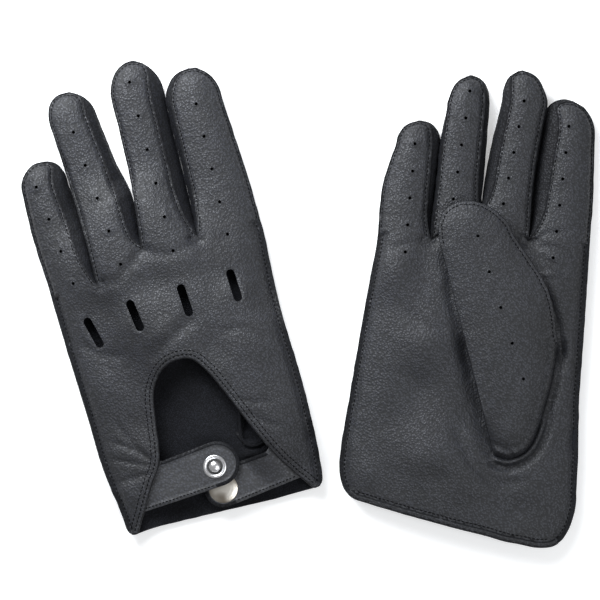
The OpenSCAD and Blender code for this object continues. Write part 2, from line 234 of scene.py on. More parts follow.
def row_and_rest(loop, place, axis, reach=16.3):
    """A loop's row of corners along a hinge's line, and the rest of the loop from there on."""
    on_line = (np.abs(cross2(loop - place, axis)) < 0.8) & (np.abs((loop - place) @ axis) < reach)
    count = len(loop)
    starts = [i for i in range(count) if on_line[i] and not on_line[i - 1]]
    lengths = [next(k for k in range(count) if not on_line[(i + k) % count]) for i in starts]
    first, length = max(zip(starts, lengths), key=lambda run: run[1])
    turned = np.roll(loop, -first, axis=0)
    return turned[:length], turned[length:]


def splice(loop, tip_loop, place, axis):
    """A hand's loop with one finger's loop added beyond the hinge's line."""
    row, rest = row_and_rest(loop, place, axis)
    return np.concatenate([row[:1], row_and_rest(tip_loop, place, axis)[1], row[-1:], rest])


def turning(loop):
    """The angle turned at each corner of a loop, in degrees, positive to the left."""
    before = unit(loop - np.roll(loop, 1, axis=0))
    after = unit(np.roll(loop, -1, axis=0) - loop)
    return np.degrees(np.arctan2(cross2(before, after), (before * after).sum(axis=1)))


def curved(loop, steps=8):
    """A smooth curve through a loop's corners that keeps its sharp ones. Corner i is at i * steps."""
    sharp = np.abs(turning(loop)) > 48.0
    count = len(loop)
    chord = np.linalg.norm(np.roll(loop, -1, axis=0) - loop, axis=1)
    result = []
    for i in range(count):
        a, b = loop[i], loop[(i + 1) % count]
        span = chord[i]
        leave = arrive = b - a
        if not sharp[i]:
            leave = (b - loop[i - 1]) * span / (span + chord[i - 1])
        if not sharp[(i + 1) % count]:
            arrive = (loop[(i + 2) % count] - a) * span / (span + chord[(i + 1) % count])
        for k in range(steps):
            t = k / steps
            result.append(
                a * (1 + 2 * t) * (1 - t) ** 2 + b * t * t * (3 - 2 * t)
                + leave * t * (1 - t) ** 2 + arrive * t * t * (t - 1)
            )
    return np.array(result)


def between(loop, first, last):
    """The part of a closed loop from one index to another."""
    if last <= first:
        last += len(loop)
    return loop[np.arange(first, last + 1) % len(loop)]


def rounded(start, corner, end, steps=9):
    """A soft corner from one point to another."""
    t = np.linspace(0.0, 1.0, steps)[:, None]
    return start * (1 - t) ** 2 + 2 * corner * t * (1 - t) + end * t * t


def thinned(loop, closest=0.9):
    """A loop without the corners that nearly repeat the one before."""
    kept = [loop[0]]
    for point in loop[1:]:
        if np.linalg.norm(point - kept[-1]) >= closest:
            kept.append(point)
    return np.array(kept)


# Small shifts of the outline at the wrist's corners: centre, radius and shift.
NUDGES = {
    "left": [((-92, -117), 9, (-0.8, -1.6)), ((5, -92), 8, (0.8, 0.0))],
    "right": [((133, -108), 13, (2.8, -0.6)), ((117, -122), 13, (0.6, -2.8))],
}


class Outline:
    """One panel's whole outline: the upper path round the fingers and the lower one along the wrist."""

    def __init__(self, side, panel):
        self.sign = PANELS[side][panel]
        loops = loops_of(*facing(f"{side}_{panel}_panel", self.sign))
        loop, self.holes = loops[0], loops[1:]
        tips = []
        for finger in FINGERS:
            tip_loops = loops_of(*facing(f"{side}_{finger}_{panel}", self.sign))
            place, axis, _ = hinge(f"{side}_{finger}_bend")
            loop = splice(loop, tip_loops[0], place, axis)
            beyond = np.abs(cross2(tip_loops[0] - place, axis))
            tips.append(tip_loops[0][np.argmax(beyond)])
            self.holes += tip_loops[1:]
        loop = thinned(loop)
        turn = turning(loop)
        crotches = sorted(np.flatnonzero((turn < -60.0) & (loop[:, 1] < 55.0)), key=lambda i: loop[i, 0])
        low = np.flatnonzero((turn > 48.0) & (loop[:, 1] < -85.0))
        corners = [low[np.argmin(loop[low, 0])], low[np.argmax(loop[low, 0])]]
        tips = [int(np.argmin(np.linalg.norm(loop - tip, axis=1))) for tip in tips]
        marks = [corners[1], tips[3], crotches[2], tips[2], crotches[1], tips[1], crotches[0], tips[0], corners[0]]
        self.crotches = loop[crotches]
        self.tips = loop[tips]
        dense = curved(loop)
        for centre, radius, shift in NUDGES[side]:
            strength = bell(np.linalg.norm(dense - centre, axis=1), radius)
            dense = dense + strength[:, None] * np.array(shift)
        self.spans = [between(dense, 8 * a, 8 * b) for a, b in zip(marks[:-1], marks[1:])]
        self.lower = between(dense, 8 * marks[-1], 8 * marks[0])
        self.round_corners(CORNER_RADIUS[side])

    def round_corners(self, radius):
        """Softens the two corners at the wrist. Half of each soft corner goes to either path."""
        first = arc_lengths(self.spans[0]) >= radius
        last = arc_lengths(self.spans[-1][::-1])[::-1] >= radius
        along = arc_lengths(self.lower)
        kept = (along >= radius) & (along[-1] - along >= radius)
        start, end, low = self.spans[0][first], self.spans[-1][last], self.lower[kept]
        turn = rounded(end[-1], self.lower[0], low[0])
        back = rounded(low[-1], self.lower[-1], start[0])
        self.spans[0] = np.concatenate([back[4:-1], start])
        self.spans[-1] = np.concatenate([end, turn[1:5]])
        self.lower = np.concatenate([turn[4:-1], low, back[1:5]])


def ripple(path, seed, size):
    """The path with its small sewn-in unevenness."""
    ahead = unit(np.gradient(path, axis=0))
    outward = np.stack([ahead[:, 1], -ahead[:, 0]], axis=1)
    shift = [noise.noise((x / 5.5, y / 5.5, seed)) for x, y in path]
    return path + outward * np.array(shift)[:, None] * size


# ---- Filling an outline with a fine mesh ----

def inner_rows(loop, depths, step, is_hole):
    """Rows of points beside a loop, on the leather's side."""
    ahead = unit(np.roll(loop, -1, axis=0) - np.roll(loop, 1, axis=0))
    inward = np.stack([-ahead[:, 1], ahead[:, 0]], axis=1)
    if (cross2(loop, np.roll(loop, -1, axis=0)).sum() < 0) != is_hole:
        inward = -inward
    return [(depth, loop + inward * depth) for depth in depths]


def hexagons(low, high, step):
    rows = np.arange(low[1], high[1], step * math.sqrt(3) / 2)
    points = [
        np.stack([np.arange(low[0] + (k % 2) * step / 2, high[0], step), np.full(1, y).repeat(
            len(np.arange(low[0] + (k % 2) * step / 2, high[0], step)))], axis=1)
        for k, y in enumerate(rows)
    ]
    return np.concatenate(points)


def fill(outer, holes, step, depths):
    """Points and triangles that fill an outline round its holes, finer beside the edges."""
    loops = [outer] + holes
    edge = np.concatenate(loops)
    tree = kd_tree(edge)
    spots = [np.round(edge / (0.55 * step))]
    inner = []
    taken = set(map(tuple, spots[0].astype(int)))
    candidates = [row for k, loop in enumerate(loops) for row in inner_rows(loop, depths, step, k > 0)]
    candidates.append((depths[-1] + 0.7 * step, hexagons(outer.min(axis=0), outer.max(axis=0), step)))
    for depth, points in candidates:
        _, distance = nearest(tree, points)
        points = points[distance > 0.92 * depth]
        for point in points:
            cell = tuple(np.round(point / (0.55 * step)).astype(int))
            if cell not in taken:
                taken.add(cell)
                inner.append(point)
    inner = np.array(inner)
    inner = inner[inside(inner, outer)]
    for hole in holes:
        inner = inner[~inside(inner, hole)]
    edges = []
    start = 0
    for loop in loops:
        edges += [(start + k, start + (k + 1) % len(loop)) for k in range(len(loop))]
        start += len(loop)
    points = [Vector(point) for point in np.concatenate([edge, inner])]
    points, _, faces, _, _, _ = delaunay_2d_cdt(points, edges, [], 0, 1e-5)
    points = np.array([tuple(point) for point in points])
    faces = np.array(faces)
    middle = points[faces].mean(axis=1)
    kept = inside(middle, outer)
    for hole in holes:
        kept &= ~inside(middle, hole)
    faces = faces[kept]
    corners = points[faces]
    clockwise = cross2(corners[:, 1] - corners[:, 0], corners[:, 2] - corners[:, 0]) < 0
    faces[clockwise] = faces[clockwise][:, ::-1]
    return points, faces


def relax(values, faces, fixed, rounds):
    """Evens out a value over a mesh, keeping the fixed points."""
    pairs = np.concatenate([faces[:, [0, 1]], faces[:, [1, 2]], faces[:, [2, 0]]])
    pairs = np.concatenate([pairs, pairs[:, ::-1]])
    count = np.maximum(np.bincount(pairs[:, 0], minlength=len(values)), 1)
    values = values.copy()
    for _ in range(rounds):
        total = np.bincount(pairs[:, 0], weights=values[pairs[:, 1]], minlength=len(values))
        values = np.where(fixed, values, total / count)
    return values


def circle(centre, radius, count=10):
    angles = np.arange(count) * 2 * math.pi / count
    return centre + radius * np.stack([np.cos(angles), np.sin(angles)], axis=1)


# ---- Pieces ----

class Shape:
    """Points, triangles, their materials and the points' normals, gathered before a piece is made."""

    def __init__(self):
        self.points, self.normals, self.faces, self.paints, self.size = [], [], [], [], 0

    def add(self, points, normals, faces, paint):
        self.points.append(points)
        self.normals.append(normals)
        self.faces.append(np.asarray(faces, int) + self.size)
        self.paints.append(np.full(len(faces), paint))
        self.size += len(points)

    def gathered(self):
        return [np.concatenate(group) for group in (self.points, self.normals, self.faces, self.paints)]


def normals_of(points, faces):
    corners = points[faces]
    across = np.cross(corners[:, 1] - corners[:, 0], corners[:, 2] - corners[:, 0])
    total = np.zeros_like(points)
    for k in range(3):
        np.add.at(total, faces[:, k], across)
    return unit(total)


def open_edges(faces):
    """The edges that only one triangle has, and which triangle that is."""
    pairs = np.concatenate([faces[:, [0, 1]], faces[:, [1, 2]], faces[:, [2, 0]]])
    keys = pairs[:, 0].astype(np.int64) * (faces.max() + 1) + pairs[:, 1]
    reverse = pairs[:, 1].astype(np.int64) * (faces.max() + 1) + pairs[:, 0]
    alone = ~np.isin(keys, reverse)
    return pairs[alone], np.flatnonzero(alone) % len(faces)


def add_sheet(shape, points, faces, thickness):
    """A sheet of leather: its face as given, its back `thickness` behind it, and the edge between.

    It returns, for every triangle added, the triangle of the face that it belongs to.
    """
    normals = normals_of(points, faces)
    back = points - normals * np.broadcast_to(thickness, len(points))[:, None]
    size = len(points)
    rim, rim_source = open_edges(faces)
    rim_faces = np.concatenate([
        np.stack([rim[:, 1], rim[:, 0], rim[:, 0] + size], axis=1),
        np.stack([rim[:, 1], rim[:, 0] + size, rim[:, 1] + size], axis=1),
    ])
    start = shape.size
    shape.add(np.concatenate([points, back]), np.concatenate([normals, -normals]), faces, OUTSIDE)
    shape.faces += [faces[:, ::-1] + size + start, rim_faces + start]
    shape.paints += [np.full(len(faces), INSIDE), np.full(len(rim_faces), OUTSIDE)]
    return np.concatenate([np.arange(len(faces))] * 2 + [rim_source] * 2)


def make_piece(name, shape, materials, chosen=None):
    """One piece from the chosen triangles of a shape, smooth across its neighbours."""
    points, normals, faces, paints = shape.gathered()
    if chosen is not None:
        faces, paints = faces[chosen], paints[chosen]
    used, faces = np.unique(faces, return_inverse=True)
    faces = faces.reshape(-1, 3)
    mesh = bpy.data.meshes.new(name)
    mesh.from_pydata((points[used] * MM).tolist(), [], faces.tolist())
    for material in materials:
        mesh.materials.append(material)
    mesh.polygons.foreach_set("material_index", paints.astype(np.int32))
    mesh.polygons.foreach_set("use_smooth", np.ones(len(faces), bool))
    mesh.normals_split_custom_set_from_vertices(normals[used].tolist())
    mesh.update()
    piece = bpy.data.objects.new(name, mesh)
    bpy.context.scene.collection.objects.link(piece)
    return piece


def tube(path, radius, sides=8, flatten=1.0, closed=False):
    """Points, normals and triangles of a round bead along a path in space."""
    count = len(path)
    if closed:
        ahead = unit(np.roll(path, -1, axis=0) - np.roll(path, 1, axis=0))
    else:
        ahead = unit(np.gradient(path, axis=0))
    across = unit(np.cross(ahead, [0.0, 0.0, 1.0]))
    upward = np.cross(across, ahead)
    angles = np.arange(sides) * 2 * math.pi / sides
    rings = np.cos(angles)[None, :, None] * across[:, None] + np.sin(angles)[None, :, None] * upward[:, None]
    scale = np.broadcast_to(radius, count)[:, None, None]
    shaped = np.cos(angles)[None, :, None] * across[:, None] + flatten * np.sin(angles)[None, :, None] * upward[:, None]
    points = (path[:, None] + scale * shaped).reshape(-1, 3)
    faces = []
    for k in range(count if closed else count - 1):
        for j in range(sides):
            a, b = k * sides + j, k * sides + (j + 1) % sides
            c, d = (a + sides) % (count * sides), (b + sides) % (count * sides)
            faces += [(a, b, d), (a, d, c)]
    if not closed:
        last = (count - 1) * sides
        faces += [(0, j + 1, j) for j in range(1, sides - 1)]
        faces += [(last, last + j, last + j + 1) for j in range(1, sides - 1)]
    faces = np.array(faces)
    corners = points[faces[0]]
    outward = np.cross(corners[1] - corners[0], corners[2] - corners[0]) @ (corners[0] - path[0])
    return points, rings.reshape(-1, 3), faces if outward > 0 else faces[:, ::-1]


def add_stitches(shape, path, normals, pitch=STITCH_PITCH, length=STITCH_LENGTH, radius=STITCH_RADIUS):
    """A row of stitches along a path in space that lies on the leather."""
    along = arc_lengths(path)
    for k in range(int(along[-1] / pitch)):
        place = (k + 0.5) * pitch + np.array([-0.5, -0.2, 0.2, 0.5]) * length
        spots = np.stack([np.interp(place, along, path[:, axis]) for axis in range(3)], axis=1)
        up = np.array([np.interp(place[1], along, normals[:, axis]) for axis in range(3)])
        spots += up * np.array([-0.15, 0.02, 0.02, -0.15])[:, None]
        points, sides, faces = tube(spots, np.array([0.6, 1.0, 1.0, 0.6]) * radius, sides=5)
        shape.add(points, sides, faces, THREAD)


def grid_faces(rows, columns):
    start = (np.arange(rows - 1)[:, None] * columns + np.arange(columns - 1)[None, :]).reshape(-1)
    return np.concatenate([
        np.stack([start, start + 1, start + columns + 1], axis=1),
        np.stack([start, start + columns + 1, start + columns], axis=1),
    ])


# ---- One glove ----

def noise_field(points, wavelength, seed):
    return np.array([noise.noise((x / wavelength, y / wavelength, seed)) for x, y in points])


# Soft hills and hollows of the leather as it lies: centre, radius and height.
SWELLS = {
    "left_back": [
        ((-97, -18), 9, 0.7), ((-72, -14), 8, 0.8), ((-60, 14), 10, 0.4), ((-104, -45), 12, 0.6),
        ((-88, -62), 9, -0.8), ((-12, -77), 9, 1.9), ((-26, -58), 8, -0.5), ((-5, -66), 8, -0.6),
        ((-30, -22), 12, 0.5), ((-92, -98), 7, 0.8), ((-47, -22), 8, -0.7),
    ],
    "right_palm": [
        ((60, -20), 15, 2.0), ((56, -43), 10, -0.9), ((64, -79), 14, 1.9), ((45, -59), 9, -0.6),
        ((79, -92), 11, 0.9), ((66, -88), 7, -0.8), ((118, -92), 10, 0.7), ((82, -58), 9, -1.0),
        ((43, 17), 13, 1.6), ((132, -70), 6, -0.6), ((30, -88), 9, 0.6), ((104, -104), 9, -0.5),
    ],
}
# Creases in the leather: a path, a width and a depth.
CREASES = {
    "left_back": [
        ([(-81, -30), (-75, -22), (-65.8, -13.3), (-57, -6.6)], 3.4, 0.9),
        ([(-108, 10), (-97, 12), (-85.5, 26), (-71, 25), (-57, 31), (-40, 24)], 2.8, 0.55),
        ([(-112, -3), (-98, 0), (-86, 9), (-70, 11), (-54, 15), (-32, 12)], 8.0, 1.0),
        ([(-79, -80), (-90, -74), (-101, -70)], 1.5, 0.5),
        ([(-79, -83), (-91, -81), (-103, -79)], 1.3, 0.45),
        ([(-80, -86), (-90, -89), (-99, -92)], 1.4, 0.45),
        ([(-83, -78), (-93, -68), (-99, -60)], 1.8, 0.4),
        ([(-38, -48), (-28, -50), (-18, -49)], 1.6, 0.35),
        ([(-32, -55), (-22, -60), (-14, -62)], 1.6, 0.35),
        ([(-20, -18), (-35, -12), (-46, -14)], 2.4, 0.35),
        ([(-118, -20), (-106, -26), (-92, -27)], 2.6, 0.4),
    ],
    "right_palm": [
        ([(62, 33), (75, 34), (87, 43), (99, 38), (112, 33), (122, 28)], 4.0, 0.8),
        ([(40, 28), (52, 31), (62, 31)], 2.0, 0.4),
        ([(112, 31), (121, 36), (133, 37)], 1.6, 0.5),
        ([(113, 29), (124, 29), (137, 24)], 1.8, 0.45),
        ([(114, 26), (124, 20), (134, 12)], 1.8, 0.45),
        ([(118.5, 11), (123, 0), (127, -13), (128.5, -22), (129.5, -32)], 2.8, 1.4),
        ([(117, 14.5), (126, 15.5), (134, 14)], 1.3, -0.7),
        ([(69, 33), (72.5, 3), (77, -16), (83, -40)], 3.2, 0.9),
        ([(81, -14), (87, -42), (92.5, -62), (98, -80)], 7.5, 2.7),
        ([(48, -2), (56, -10), (72, -14)], 3.0, 0.5),
        ([(74, -62), (82, -80), (96, -92), (112, -90)], 3.0, 0.8),
    ],
}


# How far the lower panels spread between two fingers, from the little one to the index.
SPREAD = {"left": (2.7, 2.7, 2.7), "right": (2.7, 0.9, 4.4)}


class Glove:
    """The outlines, heights and regions that all of one glove's pieces share."""

    def __init__(self, side):
        self.side = side
        self.up = {panel: PANELS[side][panel] for panel in PANELS[side]}
        self.outlines = {panel: Outline(side, panel) for panel in self.up}
        nodes = {panel: [f"{side}_{panel}_panel"] + [f"{side}_{f}_{panel}" for f in FINGERS] for panel in self.up}
        self.surfaces = {panel: Surface(nodes[panel], self.up[panel]) for panel in self.up}
        spans = [self.outlines[panel].spans for panel in ("back", "palm")]
        counts = [max(8, round(arc_lengths(span)[-1])) for span in spans[0]]
        # The spans come in pairs, from the index finger to the little one.
        self.owner = np.concatenate([np.full(count - 1, 3 - k // 2) for k, count in enumerate(counts)] + [[0]])
        self.upper = {}
        for panel, own in zip(("back", "palm"), spans):
            path = np.concatenate([resample(span, count)[:-1] for span, count in zip(own, counts)] + [own[-1][-1:]])
            self.upper[panel] = ripple(path, 3.0, 0.22)
        self.unspread = dict(self.upper)
        self.close_gaps()
        self.find_regions()
        self.find_rims()

    def close_gaps(self):
        """The lower panels of the fingers spread a little, so that neighbours nearly touch."""
        low = "palm" if self.up["back"] > 0 else "back"
        count = len(self.upper[low])
        path = self.upper[low]
        high = self.upper["back" if low == "palm" else "palm"]
        order = np.arange(count)
        ahead = unit(np.gradient(path, axis=0))
        outward = np.stack([ahead[:, 1], -ahead[:, 0]], axis=1)
        shift = np.zeros(count)
        for k in range(count):
            gaps = []
            for other, part in ((high, 1.0), (path, 0.5)):
                offset = other - path[k]
                distance = np.linalg.norm(offset, axis=1)
                facing_it = (offset @ outward[k] > 0.7 * distance) & (np.abs(order - k) > 12)
                if facing_it.any():
                    found = np.flatnonzero(facing_it)[np.argmin(distance[facing_it])]
                    gaps.append((part * (distance[found] - 0.15), min(self.owner[found], self.owner[k], 2)))
            if gaps:
                gap, pair = min(gaps)
                gap, most = max(gap, 0.0), SPREAD[self.side][pair]
                shift[k] = min(gap, most) * (1.0 - smooth((gap - most - 0.2) / 2.4))
        shift = np.convolve(np.pad(shift, 8, mode="edge"), np.ones(17) / 17, mode="valid")
        self.upper[low] = path + outward * shift[:, None]

    def find_regions(self):
        crotches = self.outlines["palm"].crotches
        tips = self.outlines["palm"].tips
        _, first_axis, _ = hinge(f"{self.side}_little_bend")
        _, last_axis, _ = hinge(f"{self.side}_index_bend")
        first_axis = first_axis * np.sign(first_axis[0])
        last_axis = last_axis * np.sign(last_axis[0])
        ends = np.array([crotches[0] - 60 * first_axis, crotches[2] + 60 * last_axis])
        self.beyond = np.concatenate([ends[:1], crotches, ends[1:], [[ends[1, 0], 300], [ends[0, 0], 300]]])
        self.tips = tips

    def region(self, points, panel):
        """Which finger each point of a panel belongs to, or -1 for the hand."""
        index, _ = nearest(kd_tree(self.unspread[panel]), points)
        return np.where(inside(points, self.beyond), self.owner[index], -1)

    def find_rims(self):
        """The middle height and half thickness at the edge, thinned where two panels are sewn together."""
        top, bottom = (("back", "palm") if self.up["back"] > 0 else ("palm", "back"))
        high = self.surfaces[top].heights(self.upper[top])
        low = self.surfaces[bottom].heights(self.upper[bottom])
        half = (high - low) / 2
        half = half - 0.5 * np.clip((2.0 - half) / 0.8, 0.0, 1.0)
        window = np.ones(9) / 9
        padded = [np.pad(values, 4, mode="edge") for values in ((high + low) / 2, half)]
        self.rim_middle, self.rim_half = (np.convolve(values, window, mode="valid") for values in padded)

    def rim(self, panel):
        return self.rim_middle + self.up[panel] * self.rim_half

    def attach(self, piece, finger):
        if finger < 0:
            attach(piece, f"{self.side}_hand")
        else:
            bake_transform(piece)


class Panel:
    """One whole panel of a glove, the back or the palm, before it is divided into pieces."""

    def __init__(self, glove, name):
        self.glove, self.name = glove, name
        self.up = glove.up[name]
        shown = self.up > 0
        outline = glove.outlines[name]
        upper = glove.upper[name]
        lower = outline.lower
        lower = ripple(resample(lower, round(arc_lengths(lower)[-1])), 7.0, 0.15)[1:-1]
        self.lower = lower
        self.outer = np.concatenate([upper, lower])
        self.holes, kinds = [], [np.full(len(upper), SEAM), np.full(len(lower), OPENING if name == "back" else HEM)]
        for hole in outline.holes:
            size = arc_lengths(hole)[-1]
            if size < 6:
                aside = np.zeros(2) if shown else np.array([2.2, -1.2])
                rim, kind = circle(hole.mean(axis=0) + aside, VENT_RADIUS), VENT
            else:
                closed = np.concatenate([hole, hole[:1]])
                rim, kind = resample(closed, round(size / 0.8))[:-1], SLOT if size < 60 else THUMB_HOLE
            self.holes.append(rim)
            kinds.append(np.full(len(rim), kind))
        step = FINE if shown else COARSE
        depths = [0.5, 1.0, 1.6, 2.3, 3.1] if shown else [1.0, 2.4]
        self.flat, self.faces = fill(self.outer, self.holes, step, depths)
        self.edge = np.concatenate([self.outer] + self.holes)
        index, self.depth = nearest(kd_tree(self.edge), self.flat)
        self.kind = np.concatenate(kinds)[index]
        self.nearest_edge = index
        self.shape_heights(len(upper))
        if self.up < 0:
            self.faces = self.faces[:, ::-1]
        self.points = np.column_stack([self.flat, self.height])

    def shape_heights(self, upper_count):
        glove = self.glove
        height = glove.surfaces[self.name].heights(self.flat)
        on_edge = self.depth < 1e-4
        sewn = self.nearest_edge < upper_count
        rim = glove.rim(self.name)[np.minimum(self.nearest_edge, upper_count - 1)]
        height = np.where(on_edge & sewn, rim, height)
        height = relax(height, self.faces, on_edge & sewn, 22 if self.up > 0 else 9)
        self.region = glove.region(self.flat, self.name)
        on_hand = self.region < 0
        flange = np.where(on_hand, HAND_FLANGE, FINGER_FLANGE)
        rise = smooth((self.depth - flange) / np.where(on_hand, 4.0, 2.2))
        height = np.where(sewn, rim + (height - rim) * rise, height)
        self.flange = flange
        self.height = height + self.up * self.details(sewn, on_hand)

    def details(self, sewn, on_hand):
        """Everything finer than the CAD's heights, as a rise away from the hand."""
        depth, flat = self.depth, self.flat
        rise = 0.30 * noise_field(flat, 15.0, 1.5) + 0.14 * noise_field(flat, 6.0, 4.5)
        rise += 0.05 * noise_field(flat, 2.6, 8.5)
        away = smooth(depth / 3.0)
        key = f"{self.glove.side}_{self.name}"
        for centre, radius, height in SWELLS.get(key, []):
            rise += 1.5 * height * bell(np.linalg.norm(flat - centre, axis=1), radius)
        for path, width, deep in CREASES.get(key, []):
            distance, place = to_path(flat, np.array(path, float))
            distance = distance + min(0.4 * width, 0.9) * noise_field(flat, 5.0, 2.5)
            rise -= 1.5 * deep * bell(distance, width) * smooth(4 * place + 0.3) * smooth(4 * (1 - place) + 0.3)
        for crotch in self.glove.outlines["palm"].crotches:
            distance = np.linalg.norm(flat - crotch, axis=1)
            rise -= np.where(on_hand, 1.0, 0.4) * bell(distance, 4.5)
        rise += self.finger_creases()
        rise *= np.where(sewn, away, 1.0)
        stitch = np.where(on_hand, HAND_STITCH, FINGER_STITCH)
        rise -= np.where(sewn, 0.22 * bell(depth - stitch, 0.45), 0.0)
        turned = self.kind == OPENING
        hemmed = self.kind == HEM
        rise -= np.where(hemmed, 0.4 * np.clip(1 - depth / 0.7, 0, 1) ** 2 + 0.35 * bell(depth - 1.1, 0.3), 0.0)
        rise += np.where(hemmed, 0.30 * bell(depth - 1.9, 0.4) - 0.35 * bell(depth - 3.0, 0.7), 0.0)
        rise -= np.where(hemmed, 0.2 * bell(depth - 4.2, 0.4), 0.0)
        rise -= np.where(turned, 0.5 * np.clip(1 - depth / 0.9, 0, 1) ** 2, 0.0)
        rise -= np.where(turned, 0.2 * bell(depth - 2.0, 0.4) + 0.2 * bell(depth - 4.2, 0.4), 0.0)
        rise += np.where(turned, 0.25 * bell(depth - 3.1, 0.8), 0.0)
        rise -= np.where(self.kind == SLOT, 0.30 * bell(depth, 0.7), 0.0)
        if self.name == "palm":
            rise += self.thumb_roll()
        return rise

    def finger_creases(self):
        """Fine folds across each finger where it bends."""
        rise = np.zeros(len(self.flat))
        for finger in range(4):
            place, axis, _ = hinge(f"{self.glove.side}_{FINGERS[finger]}_bend")
            along = cross2(self.flat - place, axis)
            own = self.region == finger
            wobble = 2.2 * noise_field(self.flat, 9.0, 3.5 + finger)
            folds = sum(bell(along + wobble - shift, 0.9) for shift in (-7.5, -3.5, 0.4, 4.6, 15.0, 19.0))
            rise -= np.where(own, 0.16 * folds * (0.6 + noise_field(self.flat, 7.0, 9.5)), 0.0)
        return rise

    def thumb_roll(self):
        """The leather gathers into a roll round the outer side of the thumb hole."""
        hole = max(self.holes, key=lambda loop: arc_lengths(loop)[-1])
        place, axis, _ = hinge(f"{self.glove.side}_thumb_fold")
        outer = hole[cross2(hole - place, axis) * self.outer_side(hole, place, axis) > 1.0]
        _, distance = nearest(kd_tree(outer), self.flat)
        outside = smooth(0.3 + 0.2 * self.outer_side(hole, place, axis) * cross2(self.flat - place, axis))
        low = smooth((-52.0 - self.flat[:, 1]) / 14.0)
        side = -2.6 * bell(distance - 1.6, 2.6)
        bottom = 0.9 * bell(distance - 1.8, 1.0) - 1.0 * bell(distance, 0.7) - 2.6 * bell(distance - 4.3, 1.9)
        return outside * (side * (1 - low) + bottom * low) - 1.5 * (1 - outside) * bell(distance, 3.0)

    @staticmethod
    def outer_side(hole, place, axis):
        """Which side of the fold line the hole's outer arc is on."""
        offset = cross2(hole - place, axis)
        return np.sign(offset[np.argmax(np.abs(offset))])


def offset_path(path, depth):
    """A path moved to its left by `depth`, without the loops that makes at sharp corners."""
    ahead = unit(np.gradient(path, axis=0))
    moved = path + depth * np.stack([-ahead[:, 1], ahead[:, 0]], axis=1)
    _, distance = nearest(kd_tree(path), moved)
    return moved[distance > 0.9 * abs(depth)]


def on_surface(tree, path, up):
    """A flat path laid on a mesh, with the mesh's normals there, cut where it leaves the mesh."""
    spots, normals = [], []
    for x, y in path:
        hit, normal, _, _ = tree.ray_cast((x, y, 100.0 * up), (0.0, 0.0, -up))
        if hit is not None:
            spots.append(hit)
            normals.append(normal)
    return np.array(spots), np.array(normals)


def build_panel(glove, name, materials):
    """A panel as its hand piece and four finger pieces, with their stitches."""
    panel = Panel(glove, name)
    up = panel.up
    shape = Shape()
    hemmed = (panel.kind == OPENING) | (panel.kind == HEM)
    thickness = 0.35 + (LEATHER - 0.35) * smooth(panel.depth / 4.0)
    thickness = np.where(hemmed, LEATHER + 0.8 * smooth((5.0 - panel.depth) / 1.0), thickness)
    source = add_sheet(shape, panel.points, panel.faces, thickness)
    stitch = np.where(panel.flange > 1.5, HAND_STITCH, FINGER_STITCH)
    beyond = (panel.depth < stitch - 0.3) & (panel.kind == SEAM)
    beyond |= (panel.kind == HEM) & ((panel.depth < 1.3) | (panel.depth > 2.2)) & (panel.depth < 4.0)
    shape.paints[0] = np.where(beyond[panel.faces].all(axis=1), RIM, OUTSIDE)
    tree = BVHTree.FromPolygons(panel.points.tolist(), panel.faces.tolist())
    upper = glove.upper[name]
    is_hand = glove.region(upper, name) < 0
    for depth, chosen in ((HAND_STITCH, is_hand), (FINGER_STITCH, ~is_hand)):
        for run in runs(chosen):
            if len(run) > 6:
                path, normals = on_surface(tree, offset_path(upper[run], depth), up)
                add_stitches(shape, path, normals)
    for depth in ((2.0, 4.2) if name == "back" else (4.2,)):
        path, normals = on_surface(tree, offset_path(panel.lower[3:-3], depth), up)
        add_stitches(shape, path, normals)
    points, _, faces, _ = shape.gathered()
    region = glove.region(points[faces][:, :, :2].mean(axis=1), name)
    region[:len(source)] = region[source]
    pieces = []
    for finger in range(-1, 4):
        part = "hand" if finger < 0 else FINGERS[finger]
        piece = make_piece(f"{glove.side}_{part}_{name}_leather", shape, materials, region == finger)
        glove.attach(piece, finger)
        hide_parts(f"{glove.side}_{name}_panel" if finger < 0 else f"{glove.side}_{part}_{name}")
        pieces.append(piece)
    return panel, pieces


def runs(chosen):
    """The runs of neighbouring true entries, as index arrays."""
    found = np.flatnonzero(chosen)
    return np.split(found, np.flatnonzero(np.diff(found) > 1) + 1) if len(found) else []


